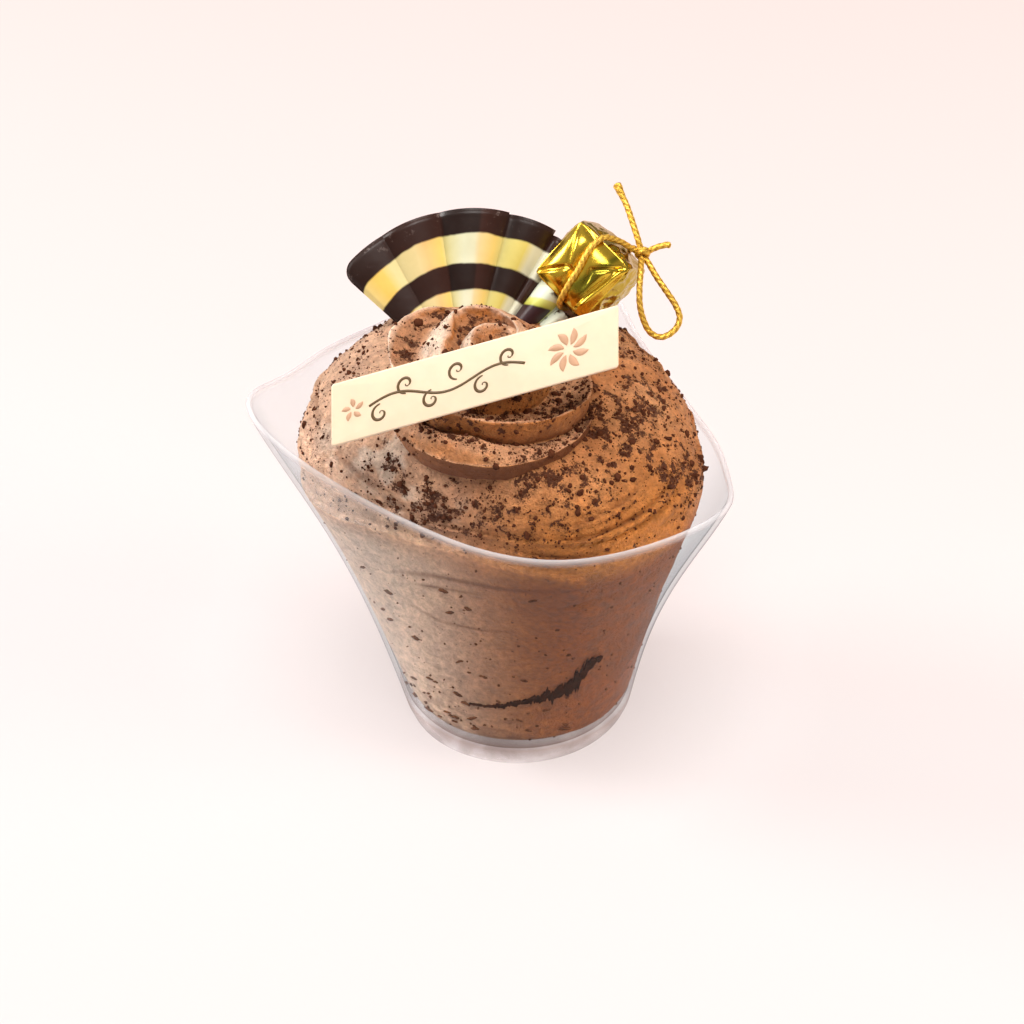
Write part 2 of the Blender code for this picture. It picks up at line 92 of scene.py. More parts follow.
class ToppingSettings(bpy.types.PropertyGroup):
    dark: bpy.props.FloatVectorProperty(
        name="Dark chocolate", description="Colour of the dark bands", default=(0.022, 0.008, 0.005),
        size=3, subtype="COLOR")
    ivory: bpy.props.FloatVectorProperty(
        name="White chocolate", description="Colour of the bar", default=(0.74, 0.585, 0.42),
        size=3, subtype="COLOR")
    gold: bpy.props.FloatVectorProperty(
        name="Foil", description="Colour of the parcel's foil", default=(0.80, 0.52, 0.05),
        size=3, subtype="COLOR")
    cord: bpy.props.FloatVectorProperty(
        name="Cord", description="Colour of the gold cord", default=(0.80, 0.48, 0.06),
        size=3, subtype="COLOR")
    cord_width: bpy.props.FloatProperty(
        name="Cord width", description="Diameter of the gold cord", default=1.25 * MM, unit="LENGTH")


class CrumbSettings(bpy.types.PropertyGroup):
    seed: bpy.props.IntProperty(name="Seed", description="Seed of the scattering", default=7)
    large: bpy.props.FloatProperty(
        name="Large crumb", description="Radius of the largest crumbs", default=0.95 * MM, unit="LENGTH")
    small: bpy.props.FloatProperty(
        name="Small crumb", description="Radius of the smallest specks", default=0.16 * MM, unit="LENGTH")
    colour: bpy.props.FloatVectorProperty(
        name="Colour", description="Colour of the crumbs", default=(0.075, 0.022, 0.009),
        size=3, subtype="COLOR")


class StageSettings(bpy.types.PropertyGroup):
    floor: bpy.props.FloatVectorProperty(
        name="Floor", description="Colour of the floor", default=(0.26, 0.255, 0.26),
        size=3, subtype="COLOR")
    azimuth: bpy.props.FloatProperty(
        name="Azimuth", description="Heading of the camera round the cup",
        default=math.radians(19.4), subtype="ANGLE")


# ---------------------------------------------------------------- reading the frame

def mesh_points(mesh):
    points = np.empty(len(mesh.vertices) * 3)
    mesh.vertices.foreach_get("co", points)
    return points.reshape(-1, 3)


def cad_points(node):
    """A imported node's points, each one once."""
    return np.unique(np.round(mesh_points(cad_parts[node].data), 7), axis=0)


def cad_tree(node):
    """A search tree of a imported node's faces."""
    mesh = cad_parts[node].data
    mesh.calc_loop_triangles()
    points = [vertex.co.copy() for vertex in mesh.vertices]
    return BVHTree.FromPolygons(points, [tuple(tri.vertices) for tri in mesh.loop_triangles])


CUP_SECTIONS = 720
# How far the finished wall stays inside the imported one.
CUP_EASE = 0.04 * MM


class CupShape:
    """The cup's wall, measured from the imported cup: its radius at any heading and height."""

    def __init__(self):
        points = cad_points("cup")
        foot = points[points[:, 2] < 0.05 * MM]
        self.axis = foot[:, :2].mean(axis=0)
        flat = points[:, :2] - self.axis
        radius = np.hypot(flat[:, 0], flat[:, 1])
        outer_foot = radius[points[:, 2] < 0.05 * MM].max() * 0.97
        sides = int(np.sum((points[:, 2] < 0.05 * MM) & (radius > outer_foot)))
        turn = np.round(np.arctan2(flat[:, 1], flat[:, 0]) * sides / (2 * math.pi)).astype(int) % sides
        tops = np.array([points[turn == i, 2].max() for i in range(sides)])
        table = []
        for i in range(sides):
            mine = (turn == i) & ((points[:, 2] > 6 * MM) | (points[:, 2] < 0.05 * MM))
            table.append(self.fit(radius[mine], points[mine, 2], tops[i]))
        self.top = self.spread(tops)
        self.terms = [self.spread(column) for column in np.array(table).T]

    @staticmethod
    def basis(share):
        return [np.ones_like(share), share, share ** 3, share ** 7]

    def fit(self, radius, height, top):
        """The outer wall's curve at one heading: foot, spread, flare and the rim's turn."""
        level = np.round(height / top, 3)
        outer = [(value, radius[level == value].max()) for value in np.unique(level) if value < 0.96]
        share = np.array([value for value, _ in outer])
        reach = np.array([value for _, value in outer])
        return np.linalg.lstsq(np.array(self.basis(share)).T, reach, rcond=None)[0]

    @staticmethod
    def spread(values):
        """Values round the cup, at many more headings, on a smooth closed curve."""
        spectrum = np.fft.rfft(values)
        return np.fft.irfft(spectrum, CUP_SECTIONS) * CUP_SECTIONS / len(values)

    def look_up(self, table, angle):
        place = np.mod(angle / (2 * math.pi), 1.0) * CUP_SECTIONS
        low = np.floor(place).astype(int)
        part = place - low
        return table[low % CUP_SECTIONS] * (1 - part) + table[(low + 1) % CUP_SECTIONS] * part

    def rim_height(self, angle):
        return self.look_up(self.top, np.asarray(angle, dtype=float))

    def radius(self, angle, height):
        """The outside of the wall, by heading from the cup's axis and height."""
        angle = np.asarray(angle, dtype=float)
        share = np.clip(np.asarray(height, dtype=float) / self.rim_height(angle), 0.0, 1.1)
        reach = sum(self.look_up(term, angle) * part for term, part in zip(self.terms, self.basis(share)))
        return reach - CUP_EASE

    def slope(self, angle, height):
        """How fast the wall runs outwards as it rises."""
        step = 0.2 * MM
        return (self.radius(angle, height) - self.radius(angle, height - step)) / step

    def inside(self, angle, height, wall):
        """The inside of a wall of a thickness, level with a height on its outside."""
        slope = self.slope(angle, height)
        return self.radius(angle, height) - wall * np.sqrt(1.0 + slope * slope)


CUP = CupShape()
AXIS = Vector((CUP.axis[0], CUP.axis[1], 0.0))


def around(x, y, z):
    """A point in millimetres from the middle of the cup's foot, in the model's metres."""
    return AXIS + Vector((x, y, z)) * MM


# The toppings' leaning frame: SIDE to the right, RISE up the slope and OUT of its face.
LEAN_HEADING = math.radians(19.4)
LEAN_BACK = math.radians(39.4)
LEAN_ROLL = math.radians(3.1)


def lean_axes(head):
    """SIDE, RISE and OUT as the columns of a matrix, for the heading that OUT leans towards."""
    back, roll = LEAN_BACK, LEAN_ROLL
    out = Vector((math.sin(head) * math.cos(back), -math.cos(head) * math.cos(back), math.sin(back)))
    level = Vector((math.cos(head), math.sin(head), 0.0))
    rise = out.cross(level)
    side = level * math.cos(roll) - rise * math.sin(roll)
    return Matrix((side, out.cross(side), out)).transposed()


LEAN = lean_axes(LEAN_HEADING)
LEAN_ORIGIN = around(0.4, 0.1, 47.7)


def leaned(x, y, z):
    """A point in millimetres along SIDE, RISE and OUT, in the model's metres."""
    return LEAN_ORIGIN + LEAN @ Vector((x, y, z)) * MM


# ---------------------------------------------------------------- mesh helpers

WELD = 0.5e-6


def new_object(name, mesh, finish):
    mesh.materials.append(finish)
    made = bpy.data.objects.new(name, mesh)
    bpy.context.scene.collection.objects.link(made)
    return made


def ready(piece, *nodes, slot):
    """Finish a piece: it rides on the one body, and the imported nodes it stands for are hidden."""
    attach(piece, "root")
    if nodes:
        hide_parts(*nodes)
    return piece


def face_outward(mesh, weld=0.0):
    """Turn a mesh's faces outwards, first welding points closer than a distance."""
    shape = bmesh.new()
    shape.from_mesh(mesh)
    if weld:
        bmesh.ops.remove_doubles(shape, verts=shape.verts, dist=weld)
    bmesh.ops.recalc_face_normals(shape, faces=shape.faces)
    shape.to_mesh(mesh)
    shape.free()


def mesh_of(name, points, faces, weld=WELD):
    """A smooth mesh of points and faces, welded and turned outwards unless weld is None."""
    mesh = bpy.data.meshes.new(name)
    mesh.from_pydata([tuple(point) for point in points], [], faces)
    mesh.update()
    if weld is not None:
        face_outward(mesh, weld)
    mesh.shade_smooth()
    return mesh


def grid_faces(rows, columns, closed=True):
    """Faces of a grid of points, closed round its columns or not."""
    faces = []
    wide = columns if closed else columns - 1
    for i in range(rows - 1):
        for j in range(wide):
            k = (j + 1) % columns
            faces.append((i * columns + j, i * columns + k, (i + 1) * columns + k, (i + 1) * columns + j))
    return faces


def ring_solid(name, rings, weld=WELD):
    """A closed mesh through equal rings of points, with each end drawn to its middle."""
    rings = np.asarray(rings)
    rows, columns = rings.shape[:2]
    points = list(rings.reshape(-1, 3)) + [rings[0].mean(axis=0), rings[-1].mean(axis=0)]
    faces = grid_faces(rows, columns)
    first, last = rows * columns, rows * columns + 1
    for j in range(columns):
        k = (j + 1) % columns
        faces.append((k, j, first))
        faces.append(((rows - 1) * columns + j, (rows - 1) * columns + k, last))
    return mesh_of(name, points, faces, weld)


def smoothstep(low, high, value):
    share = np.clip((value - low) / (high - low), 0.0, 1.0)
    return share * share * (3.0 - 2.0 * share)


def waves(points, scale, octaves=3, seed=0.0):
    """Smooth noise at many points, about -1 to 1; scale is the size of its lumps."""
    shift = Vector((seed * 17.3, seed * 9.1, seed * 5.7))
    total = np.zeros(len(points))
    strength = 1.0
    for octave in range(octaves):
        factor = 2.0 ** octave / scale
        total += strength * np.array([noise.noise(Vector(point) * factor + shift) for point in points])
        strength *= 0.5
    return total


def mesh_normals(mesh):
    normals = np.empty(len(mesh.vertices) * 3)
    mesh.vertex_normals.foreach_get("vector", normals)
    return normals.reshape(-1, 3)


def set_attribute(mesh, name, values):
    layer = mesh.attributes.new(name, "FLOAT", "POINT")
    layer.data.foreach_set("value", np.asarray(values, dtype=np.float32))


def smooth_line(points, step):
    """Points a step apart on a smooth curve through a few points."""
    knots = [Vector(point) for point in points]
    knots = [2 * knots[0] - knots[1]] + knots + [2 * knots[-1] - knots[-2]]
    dense = []
    for a, b, c, d in zip(knots, knots[1:], knots[2:], knots[3:]):
        for i in range(24):
            t = i / 24.0
            dense.append(0.5 * (2 * b + (c - a) * t + (2 * a - 5 * b + 4 * c - d) * t ** 2
                                + (3 * b - a - 3 * c + d) * t ** 3))
    dense.append(knots[-2])
    dense = np.array(dense)
    lengths = np.concatenate([[0.0], np.cumsum(np.linalg.norm(np.diff(dense, axis=0), axis=1))])
    places = np.linspace(0.0, lengths[-1], max(3, int(round(lengths[-1] / step)) + 1))
    return np.stack([np.interp(places, lengths, dense[:, k]) for k in range(3)], axis=1)


def line_distance(points, line):
    """Each point's distance to a line of points, and where along the line it is, 0 to 1."""
    best = np.full(len(points), 1.0)
    where = np.zeros(len(points))
    for i in range(len(line) - 1):
        start, along = line[i], line[i + 1] - line[i]
        share = np.clip((points - start) @ along / max(along @ along, 1e-12), 0.0, 1.0)
        away = np.linalg.norm(points - start - share[:, None] * along, axis=1)
        nearer = away < best
        best = np.where(nearer, away, best)
        where = np.where(nearer, (i + share) / (len(line) - 1), where)
    return best, where


# ---------------------------------------------------------------- material helpers

class Tree:
    """Short calls for building a node tree."""

    def __init__(self, tree):
        self.tree = tree

    def feed(self, socket, value):
        """Link an output to a socket, or set the socket's own value."""
        if isinstance(value, bpy.types.NodeSocket):
            self.tree.links.new(value, socket)
        elif socket.type == "RGBA":
            socket.default_value = (*value, 1.0)
        else:
            socket.default_value = value

    def add(self, kind, inputs=None, **values):
        """Add a node with settings of its own, and with links or values for its inputs."""
        node = self.tree.nodes.new(kind)
        for key, value in values.items():
            setattr(node, key, value)
        for key, value in (inputs or {}).items():
            self.feed(node.inputs[key], value)
        return node

    def ramp(self, source, *stops):
        """A colour ramp through (place, colour) stops."""
        node = self.add("ShaderNodeValToRGB", {"Fac": source})
        marks = node.color_ramp.elements
        while len(marks) < len(stops):
            marks.new(0.5)
        for mark, (place, colour) in zip(marks, stops):
            mark.position = place
            mark.color = (*colour, 1.0)
        return node.outputs["Color"]

    def grey(self, source, *stops):
        """A ramp of greys through (place, value) stops."""
        return self.ramp(source, *[(place, (value, value, value)) for place, value in stops])


class Nodes(Tree):
    """Short calls for building one material's node tree."""

    def __init__(self, name):
        self.made = bpy.data.materials.new(name)
        self.made.use_nodes = True
        super().__init__(self.made.node_tree)
        self.shader = self.tree.nodes["Principled BSDF"]
        self.output = self.tree.nodes["Material Output"]

    def put(self, **values):
        """Feed the shader's sockets, by their names with _ for each space."""
        for key, value in values.items():
            socket = self.shader.inputs[key.replace("_", " ")]
            self.feed(socket, value)

    def place(self):
        return self.add("ShaderNodeTexCoord").outputs["Object"]

    def noise(self, scale, detail=3.0, roughness=0.55, distortion=0.0):
        given = {"Vector": self.place(), "Scale": scale, "Detail": detail, "Roughness": roughness,
                 "Distortion": distortion}
        return self.add("ShaderNodeTexNoise", given).outputs["Fac"]

    def cells(self, scale):
        given = {"Vector": self.place(), "Scale": scale}
        return self.add("ShaderNodeTexVoronoi", given).outputs["Distance"]

    def mix(self, share, first, second, blend="MIX"):
        given = {0: share, 6: first, 7: second}
        return self.add("ShaderNodeMix", given, data_type="RGBA", blend_type=blend).outputs[2]

    def maths(self, operation, first, second):
        return self.add("ShaderNodeMath", {0: first, 1: second}, operation=operation).outputs[0]

    def attribute(self, name):
        return self.add("ShaderNodeAttribute", attribute_name=name).outputs["Fac"]

    def bump(self, height, distance, strength=1.0, below=None):
        given = {"Height": height, "Distance": distance, "Strength": strength}
        if below:
            given["Normal"] = below
        return self.add("ShaderNodeBump", given).outputs["Normal"]


def colour_of(setting):
    return tuple(setting)


# ---------------------------------------------------------------- cup

CUP_STEPS = 240
WALL_STEPS = 56
FLOOR_TOP = 3.4 * MM
FOOT_RECESS = 2.3 * MM
FOOT_WIDTH = 1.8 * MM
FOOT_ROUND = 0.7 * MM
FLOOR_ROUND = 1.6 * MM
WALL_START = 0.9 * MM


def cup_section(angle, settings):
    """Radius and height round the wall's section, from the underside's middle to the floor's."""
    top = float(CUP.rim_height(angle))
    foot = float(CUP.radius(angle, 0.0))
    section = [(foot * share, FOOT_RECESS) for share in (0.1, 0.4, 0.7, 0.86)]
    for share in (0.0, 0.35, 0.7, 1.0):
        turn = share * math.pi / 2.0
        reach = foot - FOOT_WIDTH - 0.6 * MM * (1.0 - math.sin(turn))
        section.append((reach, FOOT_RECESS - 0.9 * MM * (1.0 - math.cos(turn)) - 0.1 * MM))
    for turn in range(0, 181, 30):
        bend = math.radians(turn)
        middle = foot - FOOT_WIDTH / 2.0 - 0.1 * MM
        section.append((middle - FOOT_WIDTH / 2.0 * math.cos(bend), FOOT_ROUND - FOOT_ROUND * math.sin(bend)))
    half_lip = settings.lip / 2.0
    lean = float(CUP.slope(angle, top))
    length = math.hypot(lean, 1.0)
    along = (lean / length, 1.0 / length)
    outward = (along[1], -along[0])
    bead = top - (half_lip + 0.12 * MM) * along[1]
    for step in range(1, WALL_STEPS + 1):
        height = WALL_START + (bead - WALL_START) * step / WALL_STEPS
        section.append((float(CUP.radius(angle, height)), height))
    middle = (section[-1][0] - half_lip * outward[0], section[-1][1] - half_lip * outward[1])
    for turn in range(20, 181, 20):
        bend = math.radians(turn)
        across, over = half_lip * math.cos(bend), half_lip * math.sin(bend)
        section.append((middle[0] + across * outward[0] + over * along[0],
                        middle[1] + across * outward[1] + over * along[1]))
    low = FLOOR_TOP + FLOOR_ROUND
    for step in range(WALL_STEPS - 1, -1, -1):
        height = low + (bead - low) * step / WALL_STEPS
        slope = float(CUP.slope(angle, height))
        thick = settings.wall / math.hypot(slope, 1.0)
        section.append((float(CUP.radius(angle, height)) - thick, height + thick * slope))
    inner = float(CUP.radius(angle, FLOOR_TOP)) - settings.wall
    for turn in (20, 45, 70, 90):
        bend = math.radians(turn)
        section.append((inner - FLOOR_ROUND * (1.0 - math.cos(bend)), low - FLOOR_ROUND * math.sin(bend)))
    section += [(inner * share, FLOOR_TOP) for share in (0.8, 0.5, 0.2)]
    return section


def plastic_material(settings):
    """Clear plastic: painted grey shade where it turns away, painted highlight on the bead and foot and a
    painted reflection on the left side; lamps shine through.
    """
    nodes = Nodes("clear_plastic")
    nodes.put(Roughness=0.05, IOR=1.0, Coat_Roughness=0.06, Coat_IOR=1.5)
    facing = nodes.add("ShaderNodeLayerWeight", {"Blend": 0.5})
    # Painted shade: grey where the plastic turns away, for its dark silhouette lines.
    edge = nodes.grey(facing.outputs["Facing"], (0.60, 0.0), (0.90, 0.30), (0.975, 1.0))
    # Painted highlight: whiter on the rim's bead, the foot and the left side.
    body = nodes.mix(nodes.attribute("painted_highlight"), colour_of(settings.tint), (0.80, 0.77, 0.79))
    body = nodes.mix(edge, body, (0.24, 0.24, 0.26))
    # Painted highlights and reflections: pale streaks in the foot.
    streaks = nodes.grey(nodes.noise(60.0, 3.0, 0.6, distortion=1.5), (0.40, 0.0), (0.62, 1.0))
    base = nodes.mix(streaks, (0.50, 0.44, 0.43), (0.86, 0.84, 0.85))
    body = nodes.mix(nodes.attribute("foot"), body, base)
    nodes.put(Base_Color=nodes.mix(nodes.attribute("stain"), body, (0.44, 0.30, 0.25)))
    clearness = nodes.grey(nodes.attribute("painted_highlight"), (0.0, 1.0), (1.0, 0.62))
    nodes.put(Transmission_Weight=clearness, Coat_Weight=nodes.attribute("gloss"))
    clear = nodes.add("ShaderNodeBsdfTransparent", {"Color": (0.97, 0.965, 0.97)})
    path = nodes.add("ShaderNodeLightPath")
    mixed = nodes.add("ShaderNodeMixShader", {
        0: path.outputs["Is Shadow Ray"], 1: nodes.shader.outputs[0], 2: clear.outputs[0]})
    nodes.feed(nodes.output.inputs["Surface"], mixed.outputs[0])
    return nodes.made


def build_cup(settings):
    sections = []
    for i in range(CUP_STEPS):
        angle = 2.0 * math.pi * i / CUP_STEPS
        heading = Vector((math.cos(angle), math.sin(angle), 0.0))
        sections.append([AXIS + heading * reach + Vector((0, 0, height))
                         for reach, height in cup_section(angle, settings)])
    rings = np.array(sections).transpose(1, 0, 2)
    mesh = ring_solid("cup_wall", rings)
    local = mesh_points(mesh) - np.array(AXIS)
    top = CUP.rim_height(np.arctan2(local[:, 1], local[:, 0]))
    # Painted highlight along the rim's bead.
    bead = 0.8 * smoothstep(-1.35 * MM, -0.95 * MM, local[:, 2] - top) * (local[:, 2] > 40 * MM)
    # Painted highlight in the foot.
    foot = smoothstep(3.8 * MM, 2.2 * MM, local[:, 2])
    # Painted reflection: a whitish band down the left side.
    turned = np.cos(np.arctan2(local[:, 1], local[:, 0]) - math.radians(205.0))
    painted_reflection = 0.30 * smoothstep(0.70, 1.0, turned)
    stain = np.exp(-((local[:, 2] / MM - 4.3) / 1.6) ** 2)
    set_attribute(mesh, "stain", 0.8 * stain)
    inside = np.arange(len(mesh.vertices)) // CUP_STEPS >= len(rings) - WALL_STEPS - 7
    set_attribute(mesh, "gloss", np.where(inside, 0.02, 0.24))
    set_attribute(mesh, "painted_highlight", np.maximum(np.maximum(bead, 0.5 * foot), painted_reflection))
    set_attribute(mesh, "foot", 0.75 * foot)
    cup = new_object("cup_wall", mesh, plastic_material(settings))
    return ready(cup, "cup", slot="clear_plastic")


# ---------------------------------------------------------------- mousse

MOUSSE_TURNS = 380
MOUSSE_RINGS = 240
MOUSSE_EYE = Vector((-1.1, -1.5, 34.0)) * MM
CONTACT = 61.5 * MM


def mousse_grid():
    """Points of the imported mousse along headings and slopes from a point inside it."""
    tree = cad_tree("mousse")
    middle = AXIS + MOUSSE_EYE
    slopes = np.radians(np.interp(np.linspace(0, 1, MOUSSE_RINGS), (0, 0.05, 0.36, 1), (-88, -58, 28, 89)))
    turns = 2.0 * math.pi * np.arange(MOUSSE_TURNS) / MOUSSE_TURNS
    reach = np.empty((MOUSSE_RINGS, MOUSSE_TURNS))
    ways = np.empty((MOUSSE_RINGS, MOUSSE_TURNS, 3))
    for i, slope in enumerate(slopes):
        for j, turn in enumerate(turns):
            level = math.cos(slope)
            way = Vector((math.cos(turn) * level, math.sin(turn) * level, math.sin(slope)))
            ways[i, j] = way
            reach[i, j] = tree.ray_cast(middle, way)[3]
    spectrum = np.fft.rfft(reach, axis=1)
    fade = np.exp(-(np.arange(spectrum.shape[1]) / 16.0) ** 4)
    reach = np.fft.irfft(spectrum * fade, MOUSSE_TURNS, axis=1)
    kernel = np.exp(-(np.arange(-6, 7) / 2.6) ** 2)
    padded = np.pad(reach, ((6, 6), (0, 0)), mode="edge")
    smooth = sum(k * padded[i:i + MOUSSE_RINGS] for i, k in enumerate(kernel)) / kernel.sum()
    keep = smoothstep(0.03, 0.09, np.linspace(0, 1, MOUSSE_RINGS))[:, None]
    reach = reach * (1 - keep) + smooth * keep
    return np.array(middle) + ways * reach[:, :, None], ways


def on_mousse(line):
    """A line of places in millimetres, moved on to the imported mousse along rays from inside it."""
    tree = cad_tree("mousse")
    eye = AXIS + MOUSSE_EYE
    moved = []
    for x, y, z in smooth_line(line, 1.0):
        hit = tree.ray_cast(eye, (around(x, y, z) - eye).normalized())[0]
        moved.append((np.array(hit) - np.array(AXIS)) / MM)
    return np.array(moved)


# Folds in the dome, in millimetres from the middle of the foot: where a spatula left a step.
FOLDS = (
    (((12.0, -32.4, 69.2), (18.0, -31.8, 69.6), (24.1, -30.0, 69.7), (30.1, -23.5, 69.4),
      (34.0, -16.0, 70.0), (36.0, -7.0, 71.5)), 1.25, 2.0),
    (((18.0, -31.5, 72.6), (24.0, -29.2, 73.0), (29.8, -22.4, 73.6), (33.0, -15.0, 75.0)), 0.8, 1.6),
    (((8.0, -32.4, 66.8), (16.0, -32.6, 66.6), (24.0, -31.0, 66.4), (31.0, -26.0, 66.2)), 0.9, 1.3),
    (((-30.0, -20.0, 78.0), (-24.0, -24.5, 75.4), (-17.0, -27.8, 73.2), (-9.0, -29.6, 71.6)), 0.55, 2.2),
    (((-12.0, -28.6, 68.3), (-4.0, -30.3, 67.6), (4.0, -31.0, 68.0), (10.0, -32.0, 68.6)), 0.8, 1.6),
    (((30.0, 10.0, 76.0), (20.0, 24.0, 75.0), (4.0, 31.0, 74.0), (-14.0, 28.0, 75.0)), 0.8, 2.6),
    (((-36.0, 4.0, 74.0), (-34.0, -8.0, 75.5), (-30.6, -17.0, 77.0)), 0.6, 2.2),
)
DENTS = (
    ((24.0, -10.0, 83.5), 7.0, 0.9),
    ((27.0, 4.0, 81.0), 6.0, 0.7),
    ((-26.0, -23.8, 76.5), 5.0, 0.8),
    ((6.0, -31.6, 75.0), 8.0, 0.35),
    ((36.0, -2.0, 70.0), 7.0, -0.8),
    ((34.0, -18.0, 66.5), 5.0, -0.5),
    ((20.0, 22.0, 80.0), 9.0, 0.9),
    ((-20.0, 20.0, 80.0), 10.0, -0.8),
    ((-33.0, -6.0, 78.0), 6.0, -0.5),
)
PALE_SPOTS = (
    ((-16.0, -26.8, 79.0), 6.5, 1.0),
    ((-11.6, -29.0, 73.0), 4.5, 0.55),
    ((2.0, -31.0, 72.5), 2.6, 0.5),
    ((-26.0, -22.0, 79.0), 6.0, 0.4),
)


def dome_relief(points, settings):
    """How far the dome's surface stands in or out: broad waves, folds, dents and fine lumps."""
    local = (points - np.array(AXIS)) / MM
    rise = settings.relief * (waves(points, 15.0 * MM, 2, 1.0) + 0.42 * waves(points, 4.4 * MM, 2, 2.0))
    rise += 0.30 * MM * (0.5 - np.abs(waves(points, 6.5 * MM, 2, 7.0)) * 2.0)
    for line, height, width in FOLDS:
        path = on_mousse(line)
        away, where = line_distance(local, path)
        level = np.interp(where, np.linspace(0, 1, len(path)), path[:, 2])
        above = local[:, 2] - level
        fade = np.sin(math.pi * np.clip(where, 0.02, 0.98)) ** 0.5
        below = np.exp(-((above + 0.9) / width) ** 2) * (above < 0)
        lip = below + np.exp(-((above + 0.9) / 0.9) ** 2) * (above >= 0)
        groove = np.exp(-((above - 0.25) / 0.42) ** 2)
        near = np.exp(-(away / (2.2 * width)) ** 2)
        rise += MM * fade * near * (height * lip - 0.55 * height * groove)
    for place, size, depth in DENTS:
        away = np.linalg.norm(local - np.array(place), axis=1)
        rise -= MM * depth * np.exp(-(away / size) ** 2)
    rise += 0.09 * MM * waves(points, 1.1 * MM, 2, 3.0)
    return rise


# Where crumbs lie thick: place, size and strength.
CRUMB_PATCHES = (
    ((24.0, -9.0, 83.0), 8.0, 1.5), ((26.0, 6.0, 81.0), 8.0, 1.0), ((17.5, -26.0, 80.0), 6.5, 0.8),
    ((0.0, -31.0, 73.5), 7.5, 1.0), ((-9.0, -29.5, 73.0), 7.0, 0.8), ((-15.0, -28.0, 75.5), 4.0, 0.7),
    ((12.0, -31.5, 74.0), 6.0, 0.55), ((26.0, -21.0, 77.0), 7.0, 0.5), ((30.0, -8.0, 78.0), 7.0, 0.5),
    ((-29.0, -14.0, 81.0), 8.0, 0.30), ((37.0, -6.0, 69.0), 4.5, 1.6), ((36.5, -11.0, 75.0), 3.5, 1.6),
    ((-20.0, 6.0, 84.0), 14.0, 0.3), ((8.0, 20.0, 84.0), 12.0, 0.4),
)


def crumb_density(local):
    """Where crumbs fall: thick to the right of the rosette and below it, thin elsewhere."""
    share = 0.30 + 0.20 * waves(local, 9.0, 2, 4.0)
    for place, size, strength in CRUMB_PATCHES:
        away = np.linalg.norm(local - np.array(place), axis=1)
        share += strength * np.exp(-(away / size) ** 2)
    clumps = smoothstep(-0.35, 0.45, waves(local, 2.6, 2, 5.0))
    return np.clip(share, 0.0, 2.0) * (0.18 + 0.82 * clumps)


def mousse_material(settings):
    """Aerated mousse: pores, faint streaks, paler or deeper stretches, dark dusting, and painted light and
    shade laid on from the points' values.
    """
    nodes = Nodes("chocolate_mousse")
    broad = nodes.noise(85.0, 4.0, 0.6)
    streaks = nodes.noise(330.0, 5.0, 0.65, distortion=0.6)
    lumps = nodes.noise(850.0, 5.0, 0.7)
    fluffy = nodes.grey(broad, (0.33, 0.0), (0.66, 1.0))
    base = nodes.mix(fluffy, colour_of(settings.deep), colour_of(settings.light))
    # Pale patches, and painted light on the left and on faces lit from above and the left.
    base = nodes.mix(nodes.attribute("pale"), base, colour_of(settings.pale))
    # Painted shade: a deeper orange where the mousse turns away from the lamps.
    base = nodes.mix(nodes.attribute("warm_painted_shade"), base, (0.60, 0.215, 0.045))
    base = nodes.mix(1.0, base, nodes.grey(streaks, (0.32, 0.74), (0.66, 1.14)), "MULTIPLY")
    base = nodes.mix(1.0, base, nodes.grey(lumps, (0.36, 0.72), (0.62, 1.12)), "MULTIPLY")
    # Darker wet contact against the wall, partly painted shade to the right; on the rosette, painted shade in
    # the swirl's hollows.
    base = nodes.mix(nodes.attribute("pressed_and_painted_shade"), base, (0.50, 0.345, 0.27), "MULTIPLY")
    # Painted shade: dark brown laid into the folds and seams, on the rosette's steep sides and in the swirl's
    # hollows; low on the wall it also makes darker streaky blotches.
    deep = nodes.mix(nodes.attribute("crease_shade_and_blotches"), base, (0.13, 0.038, 0.014))
    density = nodes.maths("MULTIPLY", nodes.attribute("dust"), 0.20)
    coarse = nodes.grey(nodes.maths("ADD", nodes.noise(620.0, 5.0, 0.72), density), (0.655, 0.0), (0.70, 1.0))
    fine = nodes.grey(nodes.maths("ADD", nodes.noise(1700.0, 3.0, 0.7), density), (0.70, 0.0), (0.75, 1.0))
    dusting = nodes.maths("MAXIMUM", coarse, nodes.maths("MULTIPLY", fine, 0.8))
    nodes.put(Base_Color=nodes.mix(dusting, deep, (0.085, 0.026, 0.010)))
    pores = nodes.cells(1300.0)
    relief = nodes.bump(lumps, 0.0015, 1.0)
    nodes.put(Normal=nodes.bump(nodes.grey(pores, (0.0, 0.0), (0.35, 1.0)), 0.00018, 0.6, relief))
    nodes.put(Roughness=nodes.grey(streaks, (0.3, 0.55), (0.7, 0.8)))
    nodes.put(IOR=1.36, Subsurface_Weight=0.08, Subsurface_Scale=1.0)
    nodes.put(Subsurface_Radius=(0.0018, 0.0008, 0.0004))
    return nodes.made


